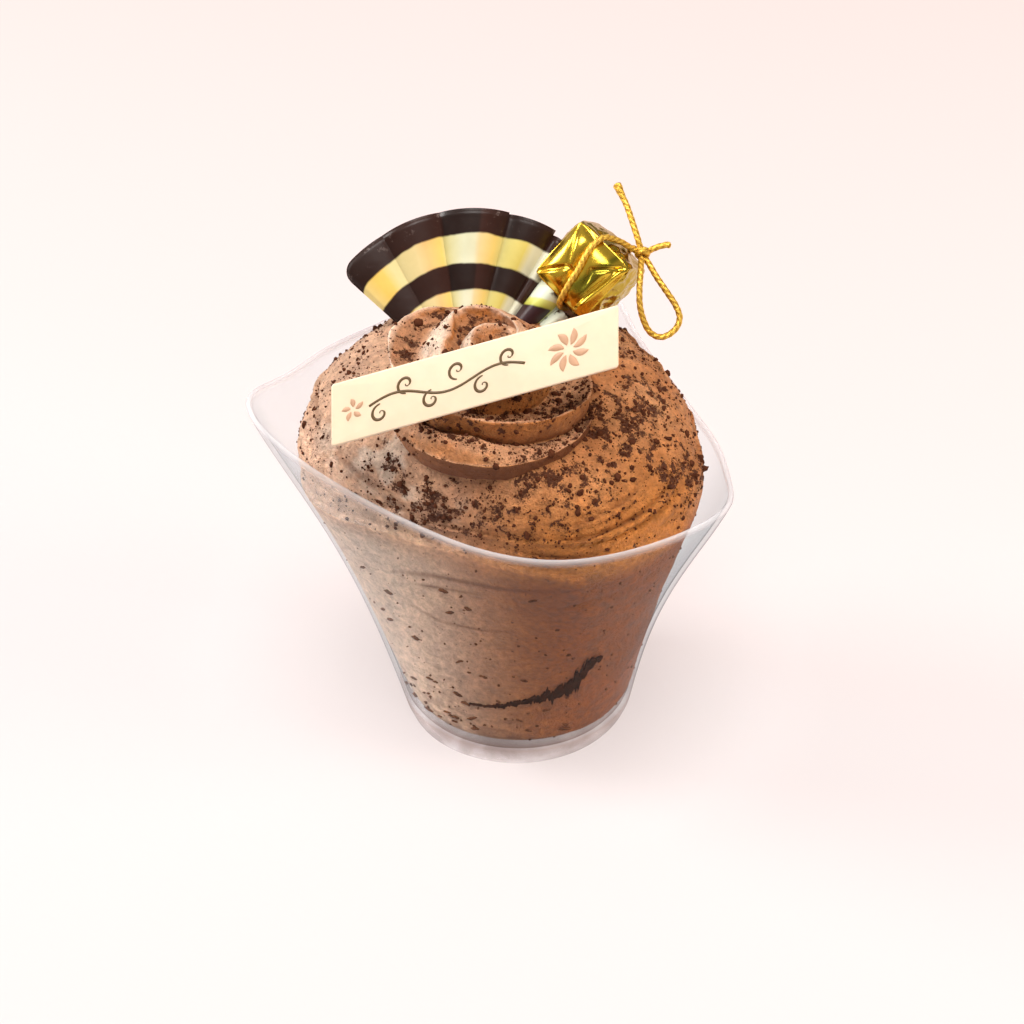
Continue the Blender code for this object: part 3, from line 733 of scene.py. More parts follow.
def build_mousse(settings):
    points, ways = mousse_grid()
    flat = points.reshape(-1, 3)
    ways = ways.reshape(-1, 3)
    local = flat - np.array(AXIS)
    heading = np.arctan2(local[:, 1], local[:, 0])
    reach = np.hypot(local[:, 0], local[:, 1])
    inner = CUP.inside(heading, local[:, 2], bpy.context.scene.dessert_cup.wall)
    room = inner - reach
    in_cup = local[:, 2] < CUP.rim_height(heading) - 1.0 * MM
    touch = np.where(in_cup, 1.0 - smoothstep(0.55 * MM, 1.0 * MM, room), 0.0)
    free = smoothstep(CONTACT - 4.0 * MM, CONTACT + 5.0 * MM, local[:, 2])
    ease = np.clip(1.0 - touch, 0.0, 1.0) * (0.35 + 0.65 * free)
    relief = dome_relief(flat, settings) * ease
    base_gap = smoothstep(4.6 * MM, 7.5 * MM, local[:, 2])
    flat = flat + ways * (relief * base_gap)[:, None]
    push = touch * np.clip(room + settings.into_wall, 0.0, 2.0 * MM) * base_gap
    flat = flat + np.stack([np.cos(heading) * push, np.sin(heading) * push, np.zeros_like(push)], axis=1)
    local = flat - np.array(AXIS)
    reach = np.hypot(local[:, 0], local[:, 1])
    limit = np.where(in_cup, inner + settings.into_wall, np.inf)
    squeeze = np.minimum(1.0, limit / np.maximum(reach, 1e-9))
    flat[:, :2] = np.array(AXIS)[:2] + local[:, :2] * squeeze[:, None]
    mesh = ring_solid("mousse_body", flat.reshape(MOUSSE_RINGS, MOUSSE_TURNS, 3))
    paint_mousse(mesh)
    mousse = new_object("mousse_body", mesh, mousse_material(settings))
    return ready(mousse, "mousse", slot="mousse")


# Marks against the wall, in millimetres: the long dark streak, brown smears and faint seams.
STREAK = (
    (-2.2, -24.2, 17.0, 0.20), (1.4, -24.4, 17.4, 0.45), (4.9, -24.4, 18.3, 0.70), (7.6, -24.2, 19.4, 0.90),
    (12.3, -23.3, 21.1, 1.60), (16.1, -22.2, 22.8, 2.40), (19.3, -21.3, 25.5, 3.40),
    (21.5, -21.4, 29.7, 2.60), (24.5, -20.4, 32.4, 0.80),
)
WALL_SMEARS = (
    (-9.6, -22.8, 18.5, 3.2), (-5.9, -23.7, 17.5, 3.0), (-0.4, -23.9, 13.5, 4.0), (5.7, -23.5, 12.8, 4.4),
    (11.1, -22.6, 15.6, 4.0), (16.7, -20.2, 16.1, 3.2), (18.6, -19.6, 18.3, 3.0), (8.0, -23.0, 16.0, 3.5),
)
WALL_SEAMS = (
    (((-14.0, -25.5, 43.0), (-8.3, -26.6, 41.3), (-5.4, -27.0, 40.6), (3.1, -28.2, 41.4),
      (10.6, -28.4, 42.9)), 0.40),
    (((-15.6, -26.9, 51.4), (-6.5, -29.4, 54.3), (2.1, -30.9, 55.5), (10.3, -31.8, 56.4), (16.8, -31.8, 57.3),
      (24.4, -31.1, 59.0)), 0.75),
    (((-22.0, -18.0, 47.5), (-15.0, -24.5, 48.5), (-6.0, -29.0, 51.0), (4.0, -30.5, 52.5)), 0.45),
    (((8.0, -26.0, 31.5), (16.0, -23.0, 33.0), (22.0, -18.0, 36.0)), 0.4),
)
SMUDGE_COUNT = 54


def paint_mousse(mesh):
    """Where the mousse is paler, warmer, darker or dusted, as values on its points: painted light on the
    left, painted shade to the right, front and low and in the folds and seams, darker wet contact against the
    wall that grows to the right as painted shade, and darker streaky blotches low down.
    """
    local = (mesh_points(mesh) - np.array(AXIS)) / MM
    pale = np.zeros(len(local))
    for place, size, strength in PALE_SPOTS:
        away = np.linalg.norm(local - np.array(place), axis=1)
        pale += strength * np.exp(-(away / size) ** 2)
    patch = smoothstep(-0.25, 0.35, waves(local, 4.0, 3, 8.0))
    # Painted light: the left side is lightened with the pale colour, more so where it meets the wall.
    left = smoothstep(12.0, -34.0, local[:, 0] + 0.35 * local[:, 1])
    against_wall = smoothstep(64.0, 56.0, local[:, 2])
    pale = np.clip(pale * patch + (0.5 + 0.50 * against_wall) * left, 0.0, 1.0)
    # Painted shade: a deeper orange to the right, front and low, away from the lamps.
    warm_painted_shade = smoothstep(-6.0, 22.0, local[:, 0]) * smoothstep(84.0, 70.0, local[:, 2])
    warm_painted_shade *= smoothstep(4.0, -20.0, local[:, 1]) * 0.95
    crease_shade_and_blotches = np.zeros(len(local))
    # Painted shade in the step of each fold.
    for line, height, _ in FOLDS:
        away, where = line_distance(local, on_mousse(line))
        fade = np.sin(math.pi * np.clip(where, 0.05, 0.95))
        crease_shade_and_blotches += np.exp(-(away / 0.75) ** 2) * fade * min(height, 0.8)
    upper = smoothstep(62.0, 67.0, local[:, 2])
    set_attribute(mesh, "pale", pale)
    set_attribute(mesh, "warm_painted_shade", warm_painted_shade)
    # Darker lines along the seams, in the same colour as the folds' painted shade.
    for line, width in WALL_SEAMS:
        away, where = line_distance(local, smooth_line(line, 1.0))
        crease_shade_and_blotches += 0.8 * np.exp(-(away / width) ** 2) * np.sin(math.pi * np.clip(where, 0.02, 0.98)) ** 0.5
    # Darker towards the bottom, in streaky blotches.
    streaky = waves(local * np.array((1.0, 1.0, 2.6)), 4.5, 4, 10.0)
    low = smoothstep(25.0, 9.0, local[:, 2]) * smoothstep(-0.1, 0.35, streaky)
    set_attribute(mesh, "crease_shade_and_blotches", np.clip(crease_shade_and_blotches * 0.85 + 0.35 * low, 0.0, 1.0))
    crumbs = crumb_density(local)
    set_attribute(mesh, "dust", np.clip(crumbs * 0.9, 0.0, 1.0) * upper)
    set_attribute(mesh, "crumbs", crumbs * upper)
    wall = smoothstep(5.0, 8.0, local[:, 2]) * smoothstep(62.0, 58.0, local[:, 2])
    smears = np.zeros(len(local))
    for x, y, z, size in WALL_SMEARS:
        away = np.linalg.norm(local - np.array((x, y, z)), axis=1)
        smears += np.exp(-(away / size) ** 2)
    streak, _ = line_distance(local, smooth_line([spot[:3] for spot in STREAK], 1.0))
    smears += 1.4 * np.exp(-(streak / 2.6) ** 2)
    patchy = smoothstep(-0.3, 0.5, waves(local, 3.0, 3, 9.0))
    lower = smoothstep(30.0, 12.0, local[:, 2])
    set_attribute(mesh, "wall_specks", wall * (0.03 + 0.06 * lower + 0.5 * smears * patchy))
    # Darker wet contact where the mousse meets the wall, growing to the right as painted shade.
    pressed_and_painted_shade = smoothstep(66.0, 58.0, local[:, 2]) * smoothstep(-20.0, 26.0, local[:, 0])
    set_attribute(mesh, "pressed_and_painted_shade", pressed_and_painted_shade)


# ---------------------------------------------------------------- rosette

ROPE_TURNS = 3.9
ROPE_STEPS = 150
ROPE_ACROSS = 44
ROPE_START = math.radians(4.0)
ROSETTE_CENTRE = (2.0, -12.6)
ROSETTE_LEAN = (-1.0, -0.3)
ROSETTE_TIP = (2.2, -0.8)
# The rope turns round from the right over the front: turns, reach and height of its lip in mm.
ROPE_TURN = (0.0, 0.12, 0.25, 0.5, 0.75, 0.9, 1.0, 1.08, 1.17, 1.25, 1.36, 1.48, 1.53, 1.57, 1.61, 1.65,
             1.75, 1.9, 2.0, 2.25, 2.4, 2.5, 2.57, 2.61, 2.66, 2.73, 2.8, 2.9, 3.0, 3.25, 3.46, 3.56, 3.7,
             3.8, 3.9)
ROPE_REACH = (19.3, 19.5, 19.5, 19.6, 19.5, 19.3, 19.0, 17.8, 16.0, 15.0, 15.8, 18.2, 19.3, 19.2, 17.4,
              15.2, 13.6, 12.8, 12.4, 9.8, 7.6, 6.5, 7.6, 8.9, 9.5, 9.2, 7.9, 7.0, 6.6, 5.0, 4.1, 4.4,
              5.1, 5.3, 5.0)
ROPE_LIP = (83.8, 84.6, 85.1, 85.7, 86.4, 87.4, 88.6, 90.2, 91.6, 92.4, 94.0, 96.2, 96.6, 96.9, 97.2,
            97.0, 95.8, 94.4, 94.6, 97.0, 99.2, 100.0, 100.3, 100.4, 100.4, 100.2, 99.8, 99.2, 98.8, 99.2,
            100.0, 100.2, 100.3, 99.8, 98.2)
# The rope's foot: its height in mm, and how far it stands out from under the lip.
FOOT_TURN = (0.0, 1.0, 1.01, 1.25, 1.5, 1.9, 2.1, 2.25, 2.4, 2.5, 2.57, 2.64, 2.75, 3.0, 3.25, 3.4, 3.5,
             3.6, 3.75, 3.9)
FOOT_HEIGHT = (79.6, 83.2, 83.4, 86.2, 86.0, 86.4, 88.0, 90.6, 92.6, 94.0, 94.2, 95.2, 94.8, 94.2, 96.4,
               97.0, 97.2, 97.1, 97.1, 97.6)
FOOT_OUT = (-1.7, -1.7, -1.7, -1.7, -1.7, -1.6, -0.5, 1.6, 4.6, 6.4, 6.0, 5.2, 4.2, 3.4, 2.4, 2.0, 2.2,
            2.4, 2.2, 1.6)
SWIRL_MIDDLE = 97.4
# The wall of the rope from its foot to its lip: how far in, in mm, and the share of its height.
WALL_IN = (1.7, 1.2, 0.8, 0.5, 0.28, 0.08, 0.0, 0.3)
WALL_UP = (0.0, 0.12, 0.3, 0.5, 0.72, 0.9, 0.965, 1.0)
WALL_PART = 0.45


def ruffle(turn, skew):
    """The rope's late folds: 0 in the creases, 1 on the crowns."""
    return abs(math.sin(5.0 * math.pi * (turn + skew) + 0.9))


def rope_place(turn, radius, height):
    """A point at a distance from the rope's middle line, which leans and drifts as it rises."""
    angle = ROPE_START - turn * 2.0 * math.pi
    lean = max((height - 84.0) / 19.0, 0.0)
    tip = smoothstep(2.7, 3.4, turn)
    x = ROSETTE_CENTRE[0] + radius * math.cos(angle) + ROSETTE_LEAN[0] * lean + ROSETTE_TIP[0] * tip
    y = ROSETTE_CENTRE[1] + radius * math.sin(angle) + ROSETTE_LEAN[1] * lean + ROSETTE_TIP[1] * tip
    return np.array((x, y, height))


def rope_wall(turn, share):
    """The rope's outer side from foot to lip: upright at first, then a rounded slope."""
    reach = np.interp(turn, ROPE_TURN, ROPE_REACH)
    lip = np.interp(turn, ROPE_TURN, ROPE_LIP)
    foot = min(np.interp(turn, FOOT_TURN, FOOT_HEIGHT), lip - 0.3)
    out = np.interp(turn, FOOT_TURN, FOOT_OUT)
    sloping = smoothstep(1.95, 2.3, turn)
    place = np.linspace(0.0, 1.0, len(WALL_IN))
    upright = -np.interp(share, place, WALL_IN)
    slope = out * (1.0 - share) - 0.3 * share
    rounded = math.sin(0.5 * math.pi * share) ** 1.15
    rise = np.interp(share, place, WALL_UP) * (1.0 - sloping) + sloping * rounded
    crinkle = 0.3 * smoothstep(1.6, 2.0, turn) * (ruffle(turn, 0.04 * share) - 0.6) * share
    radius = reach + upright * (1.0 - sloping) + slope * sloping + crinkle
    return rope_place(turn, radius, foot + (lip - foot) * rise + crinkle)


def rope_point(turn, across):
    """A point of the rope in millimetres: turns along it and a share across it."""
    if across < WALL_PART:
        return rope_wall(turn, across / WALL_PART)
    share = (across - WALL_PART) / (1.0 - WALL_PART)
    lip = rope_wall(turn, 1.0)
    if turn + 1.0 < ROPE_TURNS:
        inner = rope_wall(turn + 1.0, 0.0)
    else:
        inner = rope_place(ROPE_TURNS, 0.0, SWIRL_MIDDLE)
    point = lip + (inner - lip) * share
    hollow = smoothstep(1.3, 1.55, turn)
    width = math.hypot(inner[0] - lip[0], inner[1] - lip[1])
    flat = 1.0 - share - 0.16 * width * math.sin(math.pi * share ** 0.8) / max(lip[2] - inner[2], 0.3)
    point[2] = inner[2] + (lip[2] - inner[2]) * (flat * (1.0 - hollow) + hollow * (1.0 - share) ** 2.2)
    return point


def hollow_at(turn, across):
    """How far a point lies in the swirl's inner side, which gets painted shade: 0 outside it, 1 well within.
    """
    share = (across - WALL_PART) / (1.0 - WALL_PART)
    return float(smoothstep(1.35, 1.5, turn) * smoothstep(0.04, 0.18, share) * smoothstep(1.15, 0.7, share))


def rope_index(i, j, rows):
    """A grid point's number: past the edge comes the next turn's foot, and past the end the tip."""
    if j == ROPE_ACROSS:
        i, j = i + ROPE_STEPS, 0
    return rows * ROPE_ACROSS if i >= rows else i * ROPE_ACROSS + j


def rope_faces(rows):
    """Faces between the rope's grid points, and round its tip, without those that have no area."""
    faces = []
    for i in range(rows - 1):
        for j in range(ROPE_ACROSS):
            faces.append([(i, j), (i + 1, j), (i + 1, j + 1), (i, j + 1)])
    for j in range(ROPE_ACROSS):
        faces.append([(rows - 1, j), (rows, 0), (rows - 1, j + 1)])
    numbered = [tuple(dict.fromkeys(rope_index(i, j, rows) for i, j in face)) for face in faces]
    return [face for face in numbered if len(face) > 2]


def add_skirt(points, faces, edge):
    """Close the rope below: from its edge down into the dome, in two steps and a middle."""
    tree = cad_tree("mousse")
    rings = [edge]
    for share in (0.9, 0.5):
        ring = []
        for k in edge:
            x, y, z = points[k]
            x = ROSETTE_CENTRE[0] + (x - ROSETTE_CENTRE[0]) * share
            y = ROSETTE_CENTRE[1] + (y - ROSETTE_CENTRE[1]) * share
            hit = tree.ray_cast(around(x, y, 120.0), Vector((0, 0, -1)))[0]
            depth = min((hit.z if hit else 0.08) / MM, z) - 0.8
            ring.append(len(points))
            points.append((x, y, depth))
        rings.append(ring)
    bottom = len(points)
    points.append((ROSETTE_CENTRE[0], ROSETTE_CENTRE[1], 84.0))
    upper, middle, lower = rings
    for k in range(len(edge)):
        m = (k + 1) % len(edge)
        faces.append((upper[k], upper[m], middle[m], middle[k]))
        faces.append((middle[k], middle[m], lower[m], lower[k]))
        faces.append((lower[k], lower[m], bottom))


def build_rosette():
    rows = int(ROPE_TURNS * ROPE_STEPS) + 1
    places = [(i / ROPE_STEPS, j / ROPE_ACROSS) for i in range(rows) for j in range(ROPE_ACROSS)]
    points = [tuple(rope_point(turn, across)) for turn, across in places]
    points.append(tuple(rope_place(ROPE_TURNS, 0.0, SWIRL_MIDDLE)))
    faces = rope_faces(rows)
    edge = [rope_index(i, 0, rows) for i in range(ROPE_STEPS + 1)]
    edge += [rope_index(0, j, rows) for j in range(ROPE_ACROSS - 1, 0, -1)]
    add_skirt(points, faces, edge)
    body = np.array([around(*point) for point in points])
    mesh = mesh_of("rosette_piped", body, faces, weld=0.0)
    roughen(mesh, 0.42 * MM, 5.5 * MM, 0.15 * MM, 1.4 * MM)
    hollows = np.zeros(len(points))
    hollows[:len(places)] = [hollow_at(turn, across) for turn, across in places]
    paint_rosette(mesh, hollows)
    rosette = new_object("rosette_piped", mesh, bpy.data.materials["chocolate_mousse"])
    return ready(rosette, "rosette", slot="mousse")


def roughen(mesh, broad, broad_size, fine, fine_size):
    """Move a mesh's points in and out along their normals by soft lumps of two sizes."""
    points = mesh_points(mesh)
    lift = broad * waves(points, broad_size, 2, 11.0) + fine * waves(points, fine_size, 2, 12.0)
    points = points + mesh_normals(mesh) * lift[:, None]
    mesh.vertices.foreach_set("co", points.ravel())
    mesh.update()


def paint_rosette(mesh, hollows):
    """Dusting, crumbs, painted light on the tops and the left-facing flanks, and painted shade on the steep
    sides and the swirl's inner sides, as values on the points.
    """
    local = (mesh_points(mesh) - np.array(AXIS)) / MM
    normals = mesh_normals(mesh)
    up = normals[:, 2]
    level = smoothstep(0.25, 0.75, up)
    clumps = smoothstep(-0.4, 0.4, waves(local, 2.4, 2, 6.0))
    upper = smoothstep(90.0, 96.0, local[:, 2])
    # Painted light: upper faces that look to the left, towards the lamp.
    painted_lit_flank = smoothstep(93.0, 96.0, local[:, 2]) * smoothstep(0.1, -0.5, normals[:, 0])
    crumbs = (0.20 + 0.80 * level) * (0.30 + 0.70 * clumps) * (1.25 - 0.95 * upper)
    inner = smoothstep(87.0, 89.5, local[:, 2]) * (1.0 - level) * (1.0 - upper)
    second = smoothstep(83.5, 87.0, local[:, 2])
    left = smoothstep(0.0, -20.0, local[:, 0])
    # Painted light: the left part, the faces that look up and the lit flanks take the pale colour.
    set_attribute(mesh, "pale", 0.3 * left + (0.16 + 0.14 * upper) * level + 0.6 * painted_lit_flank)
    # Painted shade: a deeper orange on faces that do not look up, in the hollows and low on the inner side.
    set_attribute(mesh, "warm_painted_shade", 0.30 * (1.0 - level) * (1.0 - painted_lit_flank) + 0.55 * hollows + 0.35 * inner)
    # Painted shade: the steep sides facing the front darken to dark brown.
    steep = smoothstep(0.45, -0.1, up) * smoothstep(-24.0, 0.0, local[:, 0]) * (1.0 - upper)
    painted_wall_shade = (0.86 - 0.46 * second) * steep * (1.0 - 0.5 * inner)
    set_attribute(mesh, "crease_shade_and_blotches", painted_wall_shade + 0.20 * hollows * clumps)
    # Painted shade in the swirl's hollows, in the darker wet-contact colour.
    set_attribute(mesh, "pressed_and_painted_shade", 0.25 * hollows)
    dust = np.clip(crumbs * 0.62, 0.0, 1.0) * level + 0.70 * hollows * (0.4 + 0.6 * clumps)
    dust += 0.75 * inner * (0.3 + 0.7 * clumps)
    set_attribute(mesh, "dust", np.clip(dust, 0.0, 1.0))
    set_attribute(mesh, "crumbs", crumbs * level + 0.05 + 0.40 * inner * clumps)


# ---------------------------------------------------------------- crumbs

FULL_TURN = 6.283
LARGE_ARE_RARE = 2.4
CRUMB_LEAST = (0.65, 0.65, 0.5)
CRUMB_MOST = (1.35, 1.2, 0.9)
CRUMB_SEED = 31


def crumb_tree(name, finish, attribute, bumps):
    """A node tree that scatters lumpy crumbs over a surface, as plain mesh."""
    group = bpy.data.node_groups.new(name, "GeometryNodeTree")
    for label, kind in (("Surface", "Geometry"), ("Per square metre", "Float"), ("Spacing", "Float"),
                        ("Smallest", "Float"), ("Largest", "Float"), ("Seed", "Int")):
        group.interface.new_socket(label, in_out="INPUT", socket_type="NodeSocket" + kind)
    group.interface.new_socket("Crumbs", in_out="OUTPUT", socket_type="NodeSocketGeometry")
    tree = Tree(group)
    given = tree.add("NodeGroupInput").outputs
    share = tree.add("GeometryNodeInputNamedAttribute", {"Name": attribute}, data_type="FLOAT")
    spread = tree.add("GeometryNodeDistributePointsOnFaces", {
        "Mesh": given["Surface"], "Seed": given["Seed"]}, distribute_method="POISSON")
    tree.feed(spread.inputs["Distance Min"], given["Spacing"])
    tree.feed(spread.inputs["Density Max"], given["Per square metre"])
    tree.feed(spread.inputs["Density Factor"], share.outputs["Attribute"])

    crumb = tree.add("GeometryNodeMeshIcoSphere", {"Radius": 1.0, "Subdivisions": bumps})
    lump = tree.add("ShaderNodeTexNoise", {"Scale": 1.1, "Detail": 2.0})
    centred = tree.add("ShaderNodeVectorMath", {0: lump.outputs["Color"], 1: (0.5, 0.5, 0.5)},
                       operation="SUBTRACT")
    grown = tree.add("ShaderNodeVectorMath", {0: centred.outputs[0], "Scale": 1.5}, operation="SCALE")
    moved = tree.add("GeometryNodeSetPosition", {
        "Geometry": crumb.outputs["Mesh"], "Offset": grown.outputs[0]})

    turn = tree.add("FunctionNodeRandomValue", {1: (FULL_TURN, FULL_TURN, FULL_TURN), "Seed": given["Seed"]},
                    data_type="FLOAT_VECTOR")
    size = tree.add("FunctionNodeRandomValue", {2: 0.0, 3: 1.0, "Seed": given["Seed"]}, data_type="FLOAT")
    rare = tree.add("ShaderNodeMath", {0: size.outputs[1], 1: LARGE_ARE_RARE}, operation="POWER")
    scale = tree.add("ShaderNodeMapRange", {
        "Value": rare.outputs[0], "To Min": given["Smallest"], "To Max": given["Largest"]})
    shape = tree.add("FunctionNodeRandomValue", {0: CRUMB_LEAST, 1: CRUMB_MOST, "Seed": CRUMB_SEED},
                     data_type="FLOAT_VECTOR")
    whole = tree.add("ShaderNodeVectorMath", {0: shape.outputs[0], "Scale": scale.outputs["Result"]},
                     operation="SCALE")

    placed = tree.add("GeometryNodeInstanceOnPoints", {
        "Points": spread.outputs["Points"], "Instance": moved.outputs["Geometry"],
        "Rotation": turn.outputs[0], "Scale": whole.outputs[0]})
    real = tree.add("GeometryNodeRealizeInstances", {0: placed.outputs["Instances"]})
    dress = tree.add("GeometryNodeSetMaterial", {"Geometry": real.outputs[0], "Material": finish})
    tree.add("NodeGroupOutput", {"Crumbs": dress.outputs["Geometry"]})
    return group


def scatter(name, surface, tree, finish, **values):
    """Scatter one size of crumb over a piece, and return it as a plain mesh object."""
    holder = bpy.data.objects.new(name + "_holder", surface.data.copy())
    bpy.context.scene.collection.objects.link(holder)
    growth = holder.modifiers.new("scatter", "NODES")
    growth.node_group = tree
    sockets = {item.name: item.identifier for item in tree.interface.items_tree if item.in_out == "INPUT"}
    for key, value in values.items():
        growth[sockets[key.replace("_", " ")]] = value
    bpy.context.view_layer.update()
    grown = holder.evaluated_get(bpy.context.evaluated_depsgraph_get())
    mesh = bpy.data.meshes.new_from_object(grown)
    mesh.name = name
    bpy.data.objects.remove(holder)
    mesh.materials.clear()
    mesh.shade_smooth()
    return new_object(name, mesh, finish)


def crumb_material(settings):
    nodes = Nodes("chocolate_crumb")
    tone = nodes.noise(700.0, 3.0, 0.6)
    deep = tuple(0.55 * v for v in settings.colour)
    nodes.put(Base_Color=nodes.ramp(
        tone, (0.3, deep), (0.55, colour_of(settings.colour)), (0.8, (0.095, 0.030, 0.012))))
    nodes.put(Roughness=nodes.grey(tone, (0.3, 0.6), (0.8, 0.85)))
    nodes.put(Specular_IOR_Level=0.1)
    nodes.put(Normal=nodes.bump(nodes.noise(3000.0, 3.0), 0.0001, 0.7))
    return nodes.made


def build_crumbs(settings):
    finish = crumb_material(settings)
    coarse = crumb_tree("coarse_crumbs", finish, "crumbs", 3)
    fine = crumb_tree("fine_crumbs", finish, "crumbs", 1)
    dome = bpy.data.objects["mousse_body"]
    rosette = bpy.data.objects["rosette_piped"]
    for surface, label, seed in ((dome, "dome", settings.seed), (rosette, "rosette", settings.seed + 5)):
        large = scatter(label + "_large_crumbs", surface, coarse, finish, Per_square_metre=1.1e5,
                        Spacing=1.9 * MM, Smallest=0.45 * MM, Largest=settings.large, Seed=seed)
        middle = scatter(label + "_crumbs", surface, fine, finish, Per_square_metre=9.0e5, Spacing=0.6 * MM,
                         Smallest=0.24 * MM, Largest=0.58 * MM, Seed=seed + 1)
        small = scatter(label + "_specks", surface, fine, finish, Per_square_metre=3.0e6, Spacing=0.33 * MM,
                        Smallest=settings.small * 0.6, Largest=settings.small * 1.5, Seed=seed + 2)
        for piece in (large, middle, small):
            ready(piece, slot="striped_chocolate")


# ---------------------------------------------------------------- marks seen through the wall

def wall_point(angle, height, into):
    """A point by heading and height, a little into the cup's inner wall."""
    reach = float(CUP.inside(angle, height, bpy.context.scene.dessert_cup.wall)) + into
    return AXIS + Vector((math.cos(angle) * reach, math.sin(angle) * reach, height))


def ribbon_on_wall(path, half_widths, ragged, seed):
    """Rings of points for a thin ragged smear against the wall, along headings and heights."""
    rows = []
    for i, ((angle, height), half) in enumerate(zip(path, half_widths)):
        up, down = (half * max(0.08, 0.95 + ragged * noise.noise(Vector((i * 0.09, seed, lane)))
                               + 0.8 * ragged * noise.noise(Vector((i * 0.31, seed, lane + 3.0))))
                    for lane in (0.0, 9.0))
        row = []
        for share, into in ((1.0, 0.30), (0.7, 0.46), (0.0, 0.48), (-0.7, 0.46), (-1.0, 0.30), (0.0, -0.7)):
            drop = share * (up if share > 0 else down)
            row.append(wall_point(angle, height + drop, into * MM))
        rows.append(row)
    return rows


def smear_material(name, deep, light):
    """Dark chocolate wetted against plastic, so without a shine of its own."""
    nodes = Nodes(name)
    tone = nodes.noise(700.0, 4.0, 0.6)
    nodes.put(Base_Color=nodes.ramp(tone, (0.35, deep), (0.70, light)))
    nodes.put(Roughness=1.0, Specular_IOR_Level=0.0)
    return nodes.made


def streak_rings():
    """Rings of the long dark streak, along its places and half heights."""
    line = smooth_line([around(*spot[:3]) - AXIS for spot in STREAK], 0.12 * MM)
    path = [(math.atan2(y, x), z) for x, y, z in line]
    shares = np.linspace(0.0, 1.0, len(path))
    widths = np.interp(shares, np.linspace(0.0, 1.0, len(STREAK)), [spot[3] for spot in STREAK]) * MM
    return ribbon_on_wall(path, widths, 1.25, 2.0)


def smudge_rings(chance, seed):
    """Rings of one small smudge, at a random heading, height, length, thickness and tilt."""
    heading = math.radians(chance.uniform(-138.0, -48.0))
    height = (9.0 + 46.0 * chance.random() ** 1.5) * MM
    long = (0.22 + 0.85 * chance.random() ** 2) * (1.0 + 0.6 * smoothstep(22.0 * MM, 12.0 * MM, height))
    half = chance.uniform(0.22, 0.50) * long ** 0.5
    tilt = chance.uniform(-0.5, 0.7)
    reach = float(CUP.radius(heading, height)) / MM
    path = []
    halves = []
    for step in range(13):
        share = step / 6.0 - 1.0
        path.append((heading + share * long / reach, height + share * tilt * long * MM))
        halves.append(half * max(1.0 - share * share, 0.01) ** 0.8 * MM)
    return ribbon_on_wall(path, halves, 1.3, seed)


def build_marks(settings):
    """The dark streak, the brown smudges and the specks that show through the cup."""
    dark = smear_material("wall_streak", (0.016, 0.005, 0.002), (0.045, 0.014, 0.006))
    finish = smear_material("wall_smear", (0.070, 0.024, 0.010), (0.155, 0.060, 0.030))
    streak = ring_solid("wall_streak", streak_rings())
    ready(new_object("wall_streak", streak, dark), slot="striped_chocolate")
    chance = random.Random(settings.seed)
    smudges = bmesh.new()
    for number in range(SMUDGE_COUNT):
        shape = ring_solid("smudge", smudge_rings(chance, 10.0 + number))
        smudges.from_mesh(shape)
        bpy.data.meshes.remove(shape)
    mesh = bpy.data.meshes.new("wall_smudges")
    smudges.to_mesh(mesh)
    smudges.free()
    ready(new_object("wall_smudges", mesh, finish), slot="striped_chocolate")
    tree = crumb_tree("wall_specks", finish, "wall_specks", 2)
    specks = scatter("wall_specks", bpy.data.objects["mousse_body"], tree, finish, Per_square_metre=2.2e5,
                     Spacing=0.8 * MM, Smallest=0.10 * MM, Largest=0.42 * MM, Seed=settings.seed + 11)
    ready(specks, slot="striped_chocolate")


# ---------------------------------------------------------------- fan

FAN_APEX = (-9.1, 24.6, 15.2)
FAN_REACH = 34.0
FAN_GROWTH = 1.9
FAN_THICK = 1.5
# Each pleat: first and last angle in degrees, bulge towards the front in millimetres, and reach.
FAN_PLEATS = (
    (-48.0, -29.0, 0.9, 1.0),
    (-29.0, -8.5, 1.6, 1.0),
    (-8.5, 14.5, 2.0, 1.0),
    (14.5, 30.5, 1.8, 0.99),
    (30.5, 36.0, 1.3, 0.96),
    (36.0, 50.5, 5.4, 0.73),
    (50.5, 58.0, 3.4, 0.66),
)
CURL_PLEATS = 2
FAN_ROWS = 90
# The share of the fan's reach where it enters the dome.
FAN_LOWEST = 0.26


def fan_profile():
    """Each line of the fan: its angle, bulge and reach, and 1 where the fan curls up."""
    lines = []
    for number, (first, last, bulge, reach) in enumerate(FAN_PLEATS):
        steps = int((last - first) * 3.2)
        for step in range(steps + 1):
            share = step / steps
            tube = 1.0 if number >= len(FAN_PLEATS) - CURL_PLEATS else 0.0
            bend = bulge * math.sin(math.pi * share) ** 0.7
            lines.append((first + (last - first) * share, bend, reach, tube))
    angles, kinks, reaches, tubes = np.array(lines).T
    kinks = np.convolve(np.pad(kinks, 2, mode="edge"), np.array((1, 2, 3, 2, 1)) / 9.0, mode="valid")
    return angles, kinks, reaches, tubes


def fan_surface(angle, bulge, share, offset):
    turn = math.radians(angle)
    reach = (FAN_REACH + FAN_GROWTH * turn) * share
    return (FAN_APEX[0] + reach * math.sin(turn), FAN_APEX[1] + reach * math.cos(turn),
            FAN_APEX[2] + bulge * share + offset)


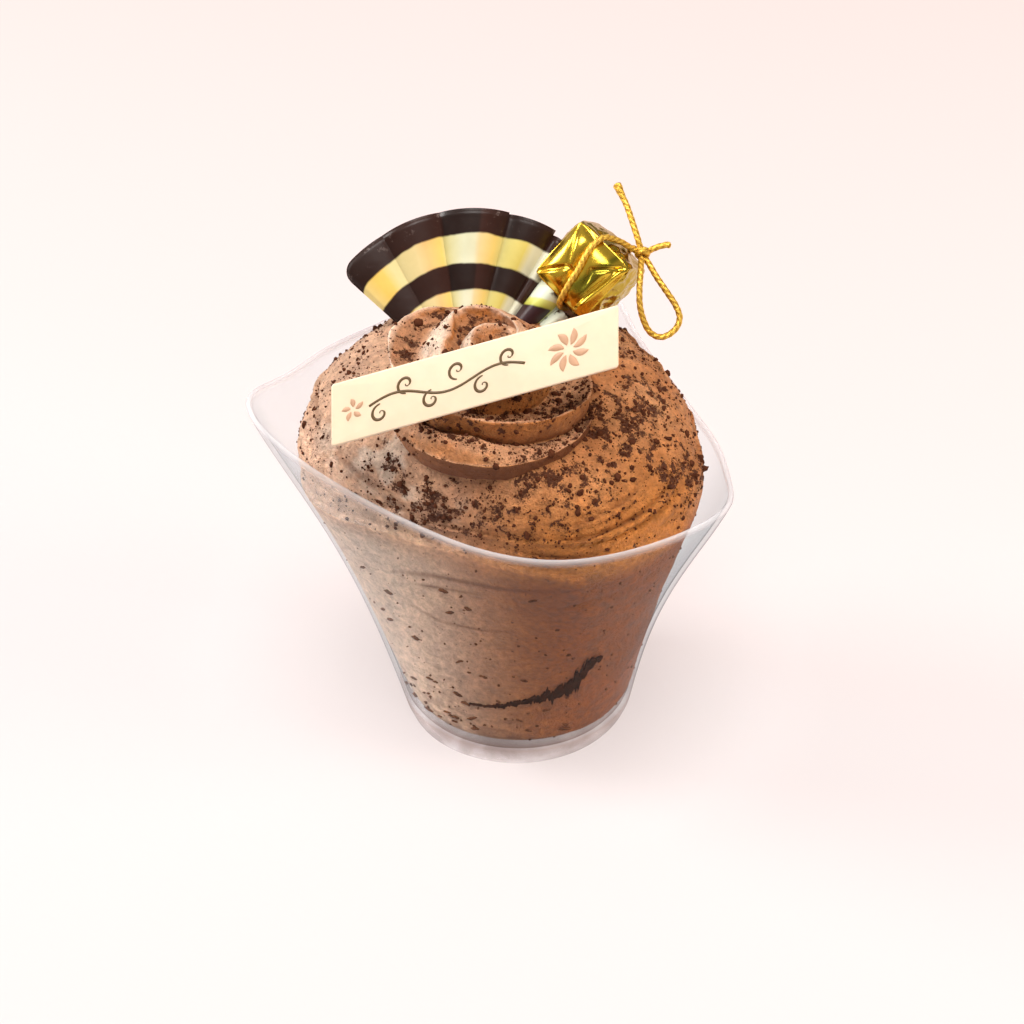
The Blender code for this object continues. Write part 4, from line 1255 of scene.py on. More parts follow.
def fan_material(settings):
    """Dark chocolate with pale bands that change from cream to yellow across the pleats, whiter on the ridges
    partly as painted highlight; the dark bands carry painted shade and highlight pleat by pleat.
    """
    nodes = Nodes("striped_chocolate")
    uv = nodes.add("ShaderNodeUVMap", uv_map="fan").outputs[0]
    parts = nodes.add("ShaderNodeSeparateXYZ", {0: uv})
    across, along = parts.outputs["X"], parts.outputs["Y"]
    wobble = nodes.maths("MULTIPLY", nodes.maths("SUBTRACT", nodes.noise(140.0, 3.0), 0.5), 0.035)
    slant = nodes.grey(across, (0.0, 0.022), (0.36, 0.0), (0.62, 0.0), (0.78, 0.0))
    band = nodes.maths("ADD", nodes.maths("ADD", along, wobble), slant)
    # Partly painted highlight: the whitish stops on the pleats' ridges; the rest is the bands' own
    # cream-to-yellow colour.
    tone = nodes.ramp(
        across, (0.0, (0.72, 0.62, 0.30)), (0.07, (0.74, 0.52, 0.13)), (0.11, (0.78, 0.53, 0.14)),
        (0.15, (0.66, 0.60, 0.32)), (0.26, (0.70, 0.60, 0.33)), (0.30, (0.76, 0.50, 0.22)),
        (0.36, (0.76, 0.54, 0.16)), (0.375, (0.60, 0.57, 0.26)), (0.45, (0.66, 0.70, 0.56)),
        (0.49, (0.68, 0.70, 0.54)), (0.51, (0.74, 0.60, 0.33)), (0.565, (0.74, 0.56, 0.18)),
        (0.60, (0.60, 0.56, 0.22)), (0.68, (0.62, 0.53, 0.14)), (0.71, (0.68, 0.68, 0.52)),
        (0.77, (0.68, 0.70, 0.62)))
    mottle = nodes.ramp(nodes.noise(160.0, 3.0), (0.35, (0.80, 0.75, 0.64)), (0.7, (0.92, 0.87, 0.80)))
    pale = nodes.mix(1.0, tone, mottle, "MULTIPLY")
    bloom = nodes.grey(nodes.noise(420.0, 5.0, 0.7), (0.60, 0.0), (0.72, 1.0))
    edge = nodes.grey(along, (0.86, 0.0), (1.0, 0.55))
    frost = nodes.maths("MULTIPLY", bloom, edge)
    # Painted shade and highlight: each pleat of the dark bands made lighter or darker, with a bright strip on
    # the last fold.
    pleat_shade_and_highlight = nodes.ramp(across, (0.0, (0.7, 0.7, 0.7)), (0.375, (1.2, 1.0, 0.95)), (0.38, (0.5, 0.52, 0.55)),
                        (0.50, (0.6, 0.6, 0.6)), (0.51, (1.4, 1.2, 1.2)), (0.60, (0.8, 0.8, 0.8)),
                        (0.61, (0.5, 0.5, 0.5)), (0.74, (1.0, 0.95, 0.95)), (0.77, (1.5, 1.4, 1.45)))
    dark = nodes.mix(1.0, colour_of(settings.dark), pleat_shade_and_highlight, "MULTIPLY")
    dark = nodes.mix(frost, dark, (0.30, 0.23, 0.21))
    mask = nodes.grey(band, (0.377, 0.0), (0.387, 1.0), (0.535, 1.0), (0.545, 0.0), (0.685, 0.0),
                      (0.695, 1.0), (0.852, 1.0), (0.862, 0.0))
    sheet = nodes.mix(mask, dark, pale)
    slope = nodes.maths("ADD", nodes.maths("ADD", along, wobble), nodes.maths("MULTIPLY", across, -0.515))
    spots = nodes.grey(nodes.noise(330.0, 3.0), (0.60, 0.0), (0.66, 1.0))
    second = nodes.grey(across, (0.920, 0.0), (0.930, 0.25))
    level = nodes.maths("ADD", nodes.maths("ADD", slope, 0.359), second)
    rolled = nodes.ramp(level, (0.0, (0.035, 0.014, 0.016)), (0.495, (0.030, 0.012, 0.014)),
                        (0.505, (0.42, 0.42, 0.07)), (0.545, (0.56, 0.56, 0.16)), (0.555, (0.60, 0.64, 0.50)),
                        (1.0, (0.66, 0.69, 0.60)))
    spotted = nodes.maths("MULTIPLY", spots, nodes.grey(level, (0.57, 0.0), (0.59, 1.0)))
    rolled = nodes.mix(spotted, rolled, (0.05, 0.035, 0.03))
    nodes.put(Base_Color=nodes.mix(nodes.attribute("curl"), sheet, rolled))
    nodes.put(Roughness=nodes.grey(nodes.noise(300.0, 3.0), (0.35, 0.30), (0.7, 0.46)))
    fine = nodes.bump(nodes.noise(500.0, 4.0), 0.00012, 0.35)
    nodes.put(Normal=nodes.bump(nodes.noise(90.0, 2.0), 0.0006, 0.4, fine))
    nodes.put(Specular_IOR_Level=0.25, IOR=1.46)
    nodes.put(Subsurface_Weight=0.05, Subsurface_Radius=(0.0015, 0.0012, 0.0006))
    return nodes.made


def rounded_off(past, depth):
    """How much a round corner takes off the fan's reach: past is 0 where it starts, 1 at its end."""
    past = max(0.0, past)
    return depth * (1.0 - math.sqrt(max(1.0 - past * past, 0.0)))


def build_fan(settings):
    angles, kinks, reaches, curls = fan_profile()
    columns = len(angles)
    points = []
    uvs = []
    for side in (0.5, -0.5):
        for row in range(FAN_ROWS):
            for angle, kink, reach in zip(angles, kinks, reaches):
                share = FAN_LOWEST + (reach - FAN_LOWEST) * row / (FAN_ROWS - 1)
                edge = 1.0 - smoothstep(reach - 0.03, reach, share) * 0.55
                left = smoothstep(-48.0, -45.5, angle) * 0.5 + 0.5
                corner = rounded_off((-42.5 - angle) / 5.5, 0.085)
                if angle < 36.0:
                    corner += rounded_off((angle - 32.5) / 3.5, 0.05)
                corner *= (share / reach) ** 8
                offset = side * FAN_THICK * edge * left
                points.append(leaned(*fan_surface(angle, kink, share - corner, offset)))
                uvs.append(((angle - angles[0]) / (angles[-1] - angles[0]), share))
    size = FAN_ROWS * columns
    front = grid_faces(FAN_ROWS, columns, closed=False)
    faces = front + [tuple(size + k for k in reversed(face)) for face in front]
    rim = list(range(columns)) + [row * columns + columns - 1 for row in range(1, FAN_ROWS)]
    rim += [(FAN_ROWS - 1) * columns + column for column in range(columns - 2, -1, -1)]
    rim += [row * columns for row in range(FAN_ROWS - 2, 0, -1)]
    for a, b in zip(rim, rim[1:] + rim[:1]):
        faces.append((b, a, a + size, b + size))
    mesh = mesh_of("fan_pleated", points, faces, weld=None)
    layer = mesh.uv_layers.new(name="fan")
    loops = np.empty(len(mesh.loops), dtype=int)
    mesh.loops.foreach_get("vertex_index", loops)
    layer.data.foreach_set("uv", np.array(uvs)[loops].ravel())
    face_outward(mesh)
    mesh.set_sharp_from_angle(angle=math.radians(50.0))
    set_attribute(mesh, "curl", np.tile(curls, 2 * FAN_ROWS))
    fan = new_object("fan_pleated", mesh, fan_material(settings))
    return ready(fan, "fan", slot="striped_chocolate")


# ---------------------------------------------------------------- plaque

PLAQUE_MIDDLE = (-6.65, 24.45, 50.6)
PLAQUE_HALF = (25.8, 5.6)
PLAQUE_SLOPE = math.tan(math.radians(15.5))
PLAQUE_THICK = 1.8
PLAQUE_CORNER = 0.55
PLAQUE_BEVEL = 0.35


def plaque_point(x, y, out):
    """A point by millimetres along the bar, up it and out of its face."""
    return leaned(PLAQUE_MIDDLE[0] + x, PLAQUE_MIDDLE[1] + y + x * PLAQUE_SLOPE, PLAQUE_MIDDLE[2] + out)


def plaque_outline(inset):
    """The bar's outline with small round corners, drawn in by an inset."""
    wide, high = PLAQUE_HALF[0] - inset, PLAQUE_HALF[1] - inset
    corner = max(PLAQUE_CORNER - inset * 0.5, 0.15)
    line = []
    for cx, cy, start in ((1, 1, 0), (-1, 1, 90), (-1, -1, 180), (1, -1, 270)):
        for step in range(7):
            turn = math.radians(start + 15.0 * step)
            x = cx * (wide - corner) + corner * math.cos(turn)
            y = cy * (high - corner) + corner * math.sin(turn)
            line.append((x, y))
    return line


def ivory_material(settings):
    nodes = Nodes("white_chocolate")
    broad = nodes.noise(55.0, 3.0)
    body = nodes.ramp(broad, (0.3, tuple(0.95 * v for v in settings.ivory)), (0.7, colour_of(settings.ivory)))
    cloud = nodes.grey(nodes.noise(240.0, 4.0), (0.4, 1.0), (0.75, 0.93))
    nodes.put(Base_Color=nodes.mix(1.0, body, cloud, "MULTIPLY"))
    nodes.put(Roughness=nodes.grey(broad, (0.3, 0.36), (0.7, 0.48)))
    nodes.put(Normal=nodes.bump(nodes.noise(800.0, 3.0), 0.00004, 0.35))
    nodes.put(Subsurface_Weight=0.15, Subsurface_Radius=(0.002, 0.0015, 0.0008))
    return nodes.made


def build_plaque(settings):
    half = PLAQUE_THICK / 2.0
    rings = []
    for turn in range(-90, 91, 15):
        bend = math.radians(turn)
        inset = PLAQUE_BEVEL * (1.0 - math.cos(bend))
        out = (half - PLAQUE_BEVEL) * np.sign(turn) + PLAQUE_BEVEL * math.sin(bend)
        rings.append([plaque_point(x, y, out) for x, y in plaque_outline(inset)])
    mesh = ring_solid("plaque_bar", rings)
    mesh.set_sharp_from_angle(angle=math.radians(60.0))
    bar = new_object("plaque_bar", mesh, ivory_material(settings))
    return ready(bar, "plaque", slot="white_chocolate")


# Across a raised stroke: shares of its half width, and millimetres out of the bar's face.
STROKE = ((1.0, -0.05), (0.75, 0.08), (0.0, 0.10), (-0.75, 0.08), (-1.0, -0.05))


def raised_line(name, lines, finish):
    """Thin raised strokes on the bar's face: each is a list of (x, y, half width)."""
    points = []
    faces = []
    face_out = PLAQUE_THICK / 2.0
    for line in lines:
        start = len(points)
        count = len(line)
        for i, (x, y, half) in enumerate(line):
            before, after = line[max(i - 1, 0)], line[min(i + 1, count - 1)]
            along = Vector((after[0] - before[0], after[1] - before[1])).normalized()
            side = Vector((-along.y, along.x)) * half
            for share, out in STROKE:
                points.append(plaque_point(x + side.x * share, y + side.y * share, face_out + out))
        faces += [tuple(start + k for k in face) for face in grid_faces(count, 5)]
        faces.append(tuple(start + j for j in range(5)))
        faces.append(tuple(start + (count - 1) * 5 + 4 - j for j in range(5)))
    return new_object(name, mesh_of(name, points, faces), finish)


def curl(x, y, size, start, turns, way, thick):
    """A curling stroke that winds in to its own middle."""
    line = []
    steps = int(40 * turns)
    for i in range(steps + 1):
        share = i / steps
        turn = start + way * 2.0 * math.pi * turns * share
        reach = size * (1.0 - share) ** 0.8
        half = thick * (0.35 + 0.65 * math.sin(math.pi * min(share * 1.4, 1.0)) ** 0.5)
        line.append((x + reach * math.cos(turn), y + reach * math.sin(turn), half))
    return line


def leaf(x, y, length, heading, fat):
    """A leaf-shaped stroke from its stem to its tip."""
    line = []
    for i in range(15):
        share = i / 14.0
        bend = heading + 0.5 * (share - 0.5)
        line.append((x + length * share * math.cos(bend), y + length * share * math.sin(bend),
                     max(fat * math.sin(math.pi * share) ** 0.8, 0.02)))
    return line


def ink_material(name, colour):
    nodes = Nodes(name)
    tone = nodes.noise(350.0, 3.0)
    nodes.put(Base_Color=nodes.ramp(tone, (0.3, tuple(0.8 * v for v in colour)), (0.7, colour)))
    nodes.put(Roughness=nodes.grey(tone, (0.3, 0.4), (0.7, 0.55)))
    return nodes.made


def build_ornament():
    """A generic vine of curls and leaves in brown and beige on the bar."""
    brown = ink_material("brown_ink", (0.10, 0.055, 0.014))
    beige = ink_material("beige_ink", (0.52, 0.30, 0.18))
    stem = []
    for i in range(61):
        stem.append((-19.0 + 28.0 * i / 60.0, 1.15 * math.sin(i / 60.0 * 3.0 * math.pi) - 0.2, 0.27))
    curls = [stem]
    for k, x in enumerate((-17.0, -12.4, -7.8, -3.2, 1.4, 6.0)):
        way = 1 if k % 2 else -1
        curls.append(curl(x, way * 2.0, 1.7, -way * math.pi / 2.0, 1.15, -way, 0.30))
    vine = raised_line("plaque_vine", curls, brown)
    leaves = []
    for k in range(8):
        turn = math.radians(45.0 * k + 20.0)
        leaves.append(leaf(16.8 + 0.9 * math.cos(turn), 0.9 * math.sin(turn), 2.9, turn, 0.72))
    for k in range(5):
        turn = math.radians(72.0 * k + 90.0)
        leaves.append(leaf(-21.9 + 0.45 * math.cos(turn), 0.45 * math.sin(turn), 1.6, turn, 0.5))
    sprigs = raised_line("plaque_leaves", leaves, beige)
    ready(vine, slot="white_chocolate")
    ready(sprigs, slot="white_chocolate")


# ---------------------------------------------------------------- parcel

PARCEL_MIDDLE = (15.3, 46.65, 15.5)
PARCEL_HALF = (6.95, 6.75)
PARCEL_TURN = math.radians(-17.5)
PARCEL_TIP = math.radians(3.5)
PARCEL_STEPS = 64
# The parcel's six faces, its front first: two directions across each one, and the way out of it.
PARCEL_FACES = (
    ((1, 0, 0), (0, 1, 0), (0, 0, 1)), ((1, 0, 0), (0, 1, 0), (0, 0, -1)),
    ((0, 1, 0), (0, 0, 1), (1, 0, 0)), ((0, 1, 0), (0, 0, 1), (-1, 0, 0)),
    ((1, 0, 0), (0, 0, 1), (0, 1, 0)), ((1, 0, 0), (0, 0, 1), (0, -1, 0)),
)


def parcel_axes():
    turn = Matrix.Rotation(PARCEL_TURN, 3, "Y") @ Matrix.Rotation(PARCEL_TIP, 3, "X")
    return turn @ Matrix.Rotation(math.radians(45.0), 3, "Z")


def on_parcel(across, down, out):
    """A point in millimetres across, down and out from the parcel's middle."""
    place = Vector(PARCEL_MIDDLE) + parcel_axes() @ Vector((across, -down, out))
    return leaned(*place)


# Folds on the parcel's front: each runs between two places, by shares of its half side across
# and down, and is a groove (below 0) or a ridge (above 0) of a width in millimetres.
FRONT_FOLDS = (
    ((1.0, -1.0), (-0.15, -0.29), -0.55, 0.42),
    ((1.0, -1.0), (0.85, -0.27), -0.45, 0.40),
    ((-1.0, -1.0), (-0.15, -0.29), -0.50, 0.40),
    ((1.0, 1.0), (0.24, 0.29), -0.50, 0.42),
    ((0.24, 0.29), (-0.30, 0.45), -0.30, 0.50),
    ((0.95, 0.98), (-0.95, 0.72), 0.55, 0.75),
    ((0.90, 0.80), (-0.85, 0.55), -0.50, 0.50),
    ((-1.0, 0.08), (0.80, -0.25), -0.60, 0.95),
    ((-0.15, -0.29), (-0.2, 0.1), -0.25, 0.5),
)


def front_height(across, down):
    """How far the parcel's front stands out at shares across and down."""
    height = 2.3 * (1.0 - across ** 4) * (1.0 - down ** 4)
    height += 0.35 * abs(across - 0.4 * down) * (1.0 - across ** 2)
    half = PARCEL_HALF[0]
    for (x0, y0), (x1, y1), depth, width in FRONT_FOLDS:
        along = Vector(((x1 - x0) * half, (y1 - y0) * half))
        place = Vector(((across - x0) * half, (down - y0) * half))
        share = min(max(place.dot(along) / along.length_squared, 0.0), 1.0)
        away = (place - along * share).length
        height += 1.35 * depth * math.exp(-(away / width) ** 2) * (1.0 - 0.6 * abs(2.0 * share - 1.0) ** 3)
    return height


def facet_shade(across, down):
    """Painted shade where the front's lower facet turns away: it darkens the foil to olive."""
    lower = smoothstep(0.12, 0.30, down - 0.25 * across) * (1.0 - smoothstep(0.50, 0.68, down))
    return float(lower * smoothstep(-0.75, -0.35, across))


def side_height(a, b, seed):
    """How far one of the parcel's other faces stands out: soft, with a few crumpled creases."""
    height = 1.0 * (1.0 - a * a) * (1.0 - b * b)
    crumple = abs(noise.noise(Vector((a * 1.7 + seed, b * 1.4, seed)))) + 0.5 * abs(
        noise.noise(Vector((a * 4.1, b * 3.3 + seed, seed))))
    return height - 1.1 * crumple * (1.0 - 0.5 * max(abs(a), abs(b)) ** 4) + 0.25


def foil_material(settings):
    nodes = Nodes("gold_foil")
    tone = nodes.noise(150.0, 3.0)
    gold = nodes.ramp(tone, (0.3, tuple(0.86 * v for v in settings.gold)), (0.7, colour_of(settings.gold)))
    # Painted shade: the foil darkens towards olive where the points say so.
    nodes.put(Base_Color=nodes.mix(nodes.attribute("shade"), gold, (0.24, 0.20, 0.02)))
    nodes.put(Metallic=1.0)
    nodes.put(Roughness=nodes.grey(nodes.noise(240.0, 3.0), (0.3, 0.16), (0.75, 0.30)))
    crinkle = nodes.cells(420.0)
    first = nodes.bump(crinkle, 0.0002, 0.15)
    nodes.put(Normal=nodes.bump(nodes.noise(700.0, 3.0, 0.6, distortion=1.0), 0.00010, 0.4, first))
    return nodes.made


def build_parcel(settings):
    steps = PARCEL_STEPS
    points = []
    faces = []
    half_side, half_deep = PARCEL_HALF
    shades = []
    reach = Vector((half_side, half_side, half_deep))
    for number, (first, second, out) in enumerate(PARCEL_FACES):
        start = len(points)
        first, second, out = Vector(first), Vector(second), Vector(out)
        for i in range(steps + 1):
            for j in range(steps + 1):
                a = math.sin((i / steps - 0.5) * math.pi)
                b = math.sin((j / steps - 0.5) * math.pi)
                lift = front_height(a, b) if number == 0 else side_height(a, b, number * 3.7)
                fade = (1.0 - a ** 10) * (1.0 - b ** 10)
                unit = first * a + second * b + out
                round_off = 1.0 - 0.028 * (abs(a) ** 6 + abs(b) ** 6) - 0.02 * (abs(a * b) ** 6)
                spot = Vector([unit[k] * reach[k] for k in range(3)]) * round_off + out * lift * fade
                points.append(on_parcel(*spot))
                # Painted shade: the lower facet of the front, and half as much on every other face.
                shades.append(facet_shade(a, b) if number == 0 else 0.5)
        faces += [tuple(start + k for k in face) for face in grid_faces(steps + 1, steps + 1, closed=False)]
    mesh = mesh_of("parcel_foil", points, faces, weld=None)
    set_attribute(mesh, "shade", shades)
    face_outward(mesh, 0.02 * MM)
    parcel = new_object("parcel_foil", mesh, foil_material(settings))
    return ready(parcel, "parcel", slot="gold_foil")


# ---------------------------------------------------------------- gold cord

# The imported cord's routes: the wrap's is across, down and out from the parcel's middle, and the
# others' are along SIDE, RISE and OUT.
WRAP_ROUTE = (
    (8.9, 3.0, 1.6), (8.7, 1.4, 3.3), (8.2, -0.1, 5.2), (7.3, -1.1, 7.1), (5.2, -1.2, 8.4), (2.5, -0.7, 8.9),
    (0.0, 0.0, 9.0), (-2.5, 0.4, 8.9), (-5.2, 0.9, 8.4), (-7.3, 1.2, 7.1), (-8.4, 1.2, 4.0), (-8.7, 1.1, 0.0),
    (-8.4, 0.9, -4.0), (-7.3, 0.6, -7.2), (-4.0, 0.4, -8.7), (0.0, 0.3, -9.0), (4.0, 0.6, -8.7),
    (7.3, 1.3, -7.2), (8.4, 2.4, -4.0), (8.9, 3.8, -1.2),
)
LOOP_ROUTE = (
    (26.1, 47.9, 19.8), (27.8, 44.9, 20.6), (29.6, 42.2, 21.0), (31.3, 39.6, 21.0), (32.1, 37.3, 21.0),
    (31.5, 35.3, 21.0), (29.9, 33.9, 21.0), (28.1, 33.5, 21.2), (26.3, 34.5, 21.6), (25.1, 36.7, 22.2),
    (24.4, 39.4, 22.9), (24.3, 42.4, 23.3), (24.5, 45.3, 22.8), (24.7, 47.4, 21.1),
)
LONG_END_ROUTE = (
    (24.4, 51.6, 19.6), (23.8, 53.6, 19.6), (22.9, 56.4, 19.4), (22.0, 59.0, 19.1), (20.9, 61.4, 18.8),
    (20.1, 63.3, 18.6),
)
SHORT_END_ROUTE = ((26.7, 50.3, 20.2), (28.0, 50.8, 20.6), (29.3, 51.1, 20.8), (30.5, 51.2, 20.8))
KNOT = (24.95, 49.6, 19.2)
CORD_SIDES = 20


def braid(name, line, radius, finish, flare=0.0):
    """A braided cord along a line of points, with round ends."""
    count = len(line)
    tangents = np.gradient(line, axis=0)
    tangents /= np.linalg.norm(tangents, axis=1)[:, None]
    side = Vector(tangents[0]).orthogonal().normalized()
    rings = []
    shade = []
    travelled = 0.0
    for i in range(count):
        along = Vector(tangents[i])
        side = (side - along * side.dot(along)).normalized()
        other = along.cross(side)
        if i:
            travelled += float(np.linalg.norm(line[i] - line[i - 1]))
        tip = min(i, count - 1 - i) / 3.0
        close = math.sqrt(max(1.0 - (1.0 - min(tip, 1.0)) ** 2, 0.02))
        spread = 1.0 + flare * smoothstep(0.75, 1.0, i / (count - 1))
        ring = []
        for j in range(CORD_SIDES):
            turn = 2.0 * math.pi * j / CORD_SIDES
            phase = travelled / radius * 1.5
            ply = abs(math.cos(1.5 * turn + phase))
            thread = abs(math.cos(5.0 * turn - 2.2 * phase))
            weave = 0.65 * ply + 0.35 * thread
            reach = radius * (0.78 + 0.24 * weave) * close * spread
            ring.append(Vector(line[i]) + (side * math.cos(turn) + other * math.sin(turn)) * reach)
            # Painted shade: the grooves between the plies get high values, which the cord's finish turns
            # dark.
            shade.append(1.0 - weave ** 2)
        rings.append(ring)
    mesh = ring_solid(name, rings, weld=0.0)
    set_attribute(mesh, "weave", shade + [0.5, 0.5])
    return new_object(name, mesh, finish)


def cord_material(settings):
    nodes = Nodes("gold_cord")
    thread = nodes.noise(2600.0, 3.0)
    fuzz = nodes.maths("MULTIPLY", nodes.maths("SUBTRACT", thread, 0.5), 0.9)
    groove = nodes.maths("ADD", nodes.attribute("weave"), fuzz)
    # Painted shade in the grooves between the plies and lighter gold on their crowns, with thread fuzz.
    nodes.put(Base_Color=nodes.ramp(
        groove, (0.0, (0.92, 0.62, 0.13)), (0.40, colour_of(settings.cord)), (0.95, (0.42, 0.21, 0.03))))
    nodes.put(Metallic=0.7)
    nodes.put(Roughness=nodes.grey(thread, (0.3, 0.34), (0.7, 0.55)))
    nodes.put(Normal=nodes.bump(thread, 0.0002, 0.8))
    return nodes.made


def build_cord(settings):
    finish = cord_material(settings)
    radius = settings.cord_width / 2.0
    knot = Vector(KNOT)
    inner = leaned(*knot)
    step = 0.16 * MM
    wrap = [inner] + [on_parcel(*point) for point in WRAP_ROUTE] + [inner]
    loop = [inner] + [leaned(*point) for point in LOOP_ROUTE] + [inner]
    long_end = [inner] + [leaned(*point) for point in LONG_END_ROUTE]
    short_end = [inner] + [leaned(*point) for point in SHORT_END_ROUTE]
    parts = (("cord_wrap", wrap, "tie_wrap", 0.0), ("cord_loop", loop, "tie_loop", 0.0),
             ("cord_long_end", long_end, "tie_long_end", 0.45),
             ("cord_short_end", short_end, "tie_short_end", 0.1))
    for name, route, node, flare in parts:
        ready(braid(name, smooth_line(route, step), radius, finish, flare), node, slot="gold_cord")
    turns = []
    for i in range(61):
        turn = 2.0 * math.pi * 1.6 * i / 60.0
        rise = 0.55 * math.sin(turn) + 0.7 * (i / 60.0 - 0.5)
        turns.append(leaned(*(knot + Vector((math.cos(turn) + 0.1, rise, math.sin(turn) + 0.6)))))
    ready(braid("cord_knot", smooth_line(turns, step), radius * 0.95, finish), "tie_knot", slot="gold_cord")


# ---------------------------------------------------------------- stage

CAMERA_TARGET = (0.39, 0.14, 47.66)
CAMERA_DISTANCE = 510.06 * MM
CAMERA_LENS = 89.8
SKY_BRIGHTEST = (-0.40, -0.05, 0.91)
SKY_LOW = (0.10, 0.09, 0.085)
SKY_HIGH = (1.0, 0.96, 0.93)
LAMP_AIM = (0.0, 0.0, 60.0)
WARM_WHITE = (1.0, 0.97, 0.94)


def floor_material(settings):
    nodes = Nodes("pale_floor")
    parts = nodes.add("ShaderNodeSeparateXYZ", {0: nodes.place()})
    back = nodes.maths("ADD", nodes.maths("MULTIPLY", parts.outputs["Y"], 1.6), 0.45)
    glow = nodes.ramp(back, (0.0, (0.54, 0.43, 0.41)), (0.45, (0.56, 0.48, 0.465)),
                      (0.62, (0.62, 0.46, 0.43)), (1.0, (0.66, 0.44, 0.40)))
    nodes.put(Base_Color=colour_of(settings.floor), Roughness=0.9)
    nodes.put(Specular_IOR_Level=0.1, Emission_Strength=1.0)
    nodes.put(Emission_Color=glow)
    return nodes.made


def add_lamp(name, away, size, power, colour):
    """A round soft lamp, some metres away from what it's aimed at."""
    lamp = bpy.data.lights.new(name, "AREA")
    lamp.shape = "DISK"
    lamp.size = size
    lamp.energy = power
    lamp.color = colour
    holder = bpy.data.objects.new(name, lamp)
    holder.location = around(*LAMP_AIM) + Vector(away)
    holder.rotation_euler = (-Vector(away)).to_track_quat("-Z", "Y").to_euler()
    bpy.context.scene.collection.objects.link(holder)
    return holder


def build_stage(settings):
    mesh = bpy.data.meshes.new("floor")
    shape = bmesh.new()
    bmesh.ops.create_grid(shape, x_segments=24, y_segments=24, size=1.6)
    shape.to_mesh(mesh)
    shape.free()
    floor = new_object("floor", mesh, floor_material(settings))
    world = bpy.data.worlds.new("studio")
    world.use_nodes = True
    tree = Tree(world.node_tree)
    place = tree.add("ShaderNodeTexCoord")
    turned = tree.add("ShaderNodeVectorMath", {0: place.outputs["Generated"], 1: SKY_BRIGHTEST},
                      operation="DOT_PRODUCT")
    shift = tree.add("ShaderNodeMath", {0: turned.outputs["Value"], 1: 0.5, 2: 0.5}, operation="MULTIPLY_ADD")
    sky = world.node_tree.nodes["Background"]
    tree.feed(sky.inputs["Color"], tree.ramp(shift.outputs[0], (0.0, SKY_LOW), (0.9, SKY_HIGH)))
    sky.inputs["Strength"].default_value = 0.5
    bpy.context.scene.world = world
    add_lamp("left", (-0.80, -0.05, 0.48), 0.42, 8.0, WARM_WHITE)
    add_lamp("top", (0.08, -0.18, 0.78), 0.5, 7.0, WARM_WHITE)
    right = add_lamp("right", (0.80, 0.05, 0.45), 0.4, 5.5, (1.0, 0.90, 0.80))
    right.visible_glossy = False
    axes = lean_axes(settings.azimuth)
    camera = bpy.data.cameras.new("camera")
    camera.lens = CAMERA_LENS
    camera.sensor_width = 36.0
    camera.clip_start = 0.01
    holder = bpy.data.objects.new("camera", camera)
    bpy.context.scene.collection.objects.link(holder)
    place = around(*CAMERA_TARGET) + axes.col[2] * CAMERA_DISTANCE
    holder.matrix_world = Matrix.Translation(place) @ axes.to_4x4()
    bpy.context.scene.camera = holder
    bpy.context.scene.view_settings.view_transform = "Standard"


# ---------------------------------------------------------------- operators and panel

class DESSERT_OT_cup(bpy.types.Operator):
    """Build the clear plastic cup"""
    bl_idname = "dessert.cup"
    bl_label = "Cup"

    def execute(self, context):
        build_cup(context.scene.dessert_cup)
        return {"FINISHED"}


class DESSERT_OT_mousse(bpy.types.Operator):
    """Build the mousse that fills the cup and domes above it"""
    bl_idname = "dessert.mousse"
    bl_label = "Mousse"

    def execute(self, context):
        build_mousse(context.scene.dessert_mousse)
        return {"FINISHED"}


class DESSERT_OT_rosette(bpy.types.Operator):
    """Build the piped rosette"""
    bl_idname = "dessert.rosette"
    bl_label = "Rosette"

    def execute(self, context):
        build_rosette()
        return {"FINISHED"}


class DESSERT_OT_crumbs(bpy.types.Operator):
    """Scatter the crumbs and add the marks that show through the cup"""
    bl_idname = "dessert.crumbs"
    bl_label = "Crumbs"

    def execute(self, context):
        build_crumbs(context.scene.dessert_crumbs)
        build_marks(context.scene.dessert_crumbs)
        return {"FINISHED"}


class DESSERT_OT_fan(bpy.types.Operator):
    """Build the pleated striped chocolate fan"""
    bl_idname = "dessert.fan"
    bl_label = "Fan"

    def execute(self, context):
        build_fan(context.scene.dessert_toppings)
        return {"FINISHED"}


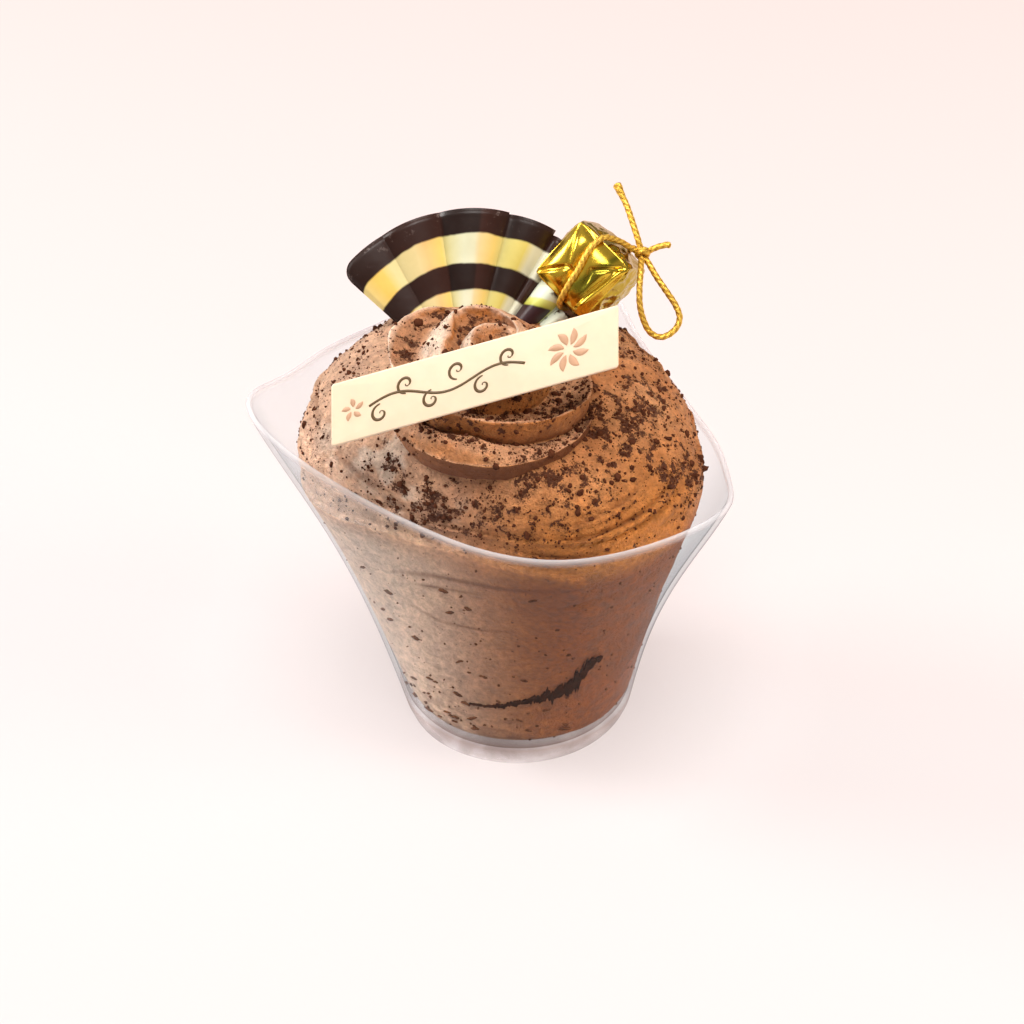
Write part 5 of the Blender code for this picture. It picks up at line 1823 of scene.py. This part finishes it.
class DESSERT_OT_plaque(bpy.types.Operator):
    """Build the white chocolate bar and its ornament"""
    bl_idname = "dessert.plaque"
    bl_label = "Plaque"

    def execute(self, context):
        build_plaque(context.scene.dessert_toppings)
        build_ornament()
        return {"FINISHED"}


class DESSERT_OT_parcel(bpy.types.Operator):
    """Build the foil parcel and its gold cord"""
    bl_idname = "dessert.parcel"
    bl_label = "Parcel"

    def execute(self, context):
        build_parcel(context.scene.dessert_toppings)
        build_cord(context.scene.dessert_toppings)
        return {"FINISHED"}


class DESSERT_OT_stage(bpy.types.Operator):
    """Build the floor, the lamps and the camera"""
    bl_idname = "dessert.stage"
    bl_label = "Stage"

    def execute(self, context):
        build_stage(context.scene.dessert_stage)
        return {"FINISHED"}


STEPS = (DESSERT_OT_stage, DESSERT_OT_cup, DESSERT_OT_mousse, DESSERT_OT_rosette, DESSERT_OT_crumbs,
         DESSERT_OT_fan, DESSERT_OT_plaque, DESSERT_OT_parcel)


class DESSERT_PT_panel(bpy.types.Panel):
    """Lists the steps that build the dessert"""
    bl_idname = "DESSERT_PT_panel"
    bl_label = "Chocolate mousse"
    bl_space_type = "VIEW_3D"
    bl_region_type = "UI"
    bl_category = "Dessert"

    def draw(self, context):
        for step in STEPS:
            self.layout.operator(step.bl_idname)


SETTINGS = (
    ("dessert_cup", CupSettings),
    ("dessert_mousse", MousseSettings),
    ("dessert_toppings", ToppingSettings),
    ("dessert_crumbs", CrumbSettings),
    ("dessert_stage", StageSettings),
)


def register():
    for name, group in SETTINGS:
        bpy.utils.register_class(group)
        setattr(bpy.types.Scene, name, bpy.props.PointerProperty(type=group))
    for made in (*STEPS, DESSERT_PT_panel):
        bpy.utils.register_class(made)


def unregister():
    for made in reversed((*STEPS, DESSERT_PT_panel)):
        bpy.utils.unregister_class(made)
    for name, group in reversed(SETTINGS):
        delattr(bpy.types.Scene, name)
        bpy.utils.unregister_class(group)


def main():
    register()
    bpy.ops.dessert.stage()
    bpy.ops.dessert.cup()
    bpy.ops.dessert.mousse()
    bpy.ops.dessert.rosette()
    bpy.ops.dessert.crumbs()
    bpy.ops.dessert.fan()
    bpy.ops.dessert.plaque()
    bpy.ops.dessert.parcel()


if __name__ == "__main__":
    main()
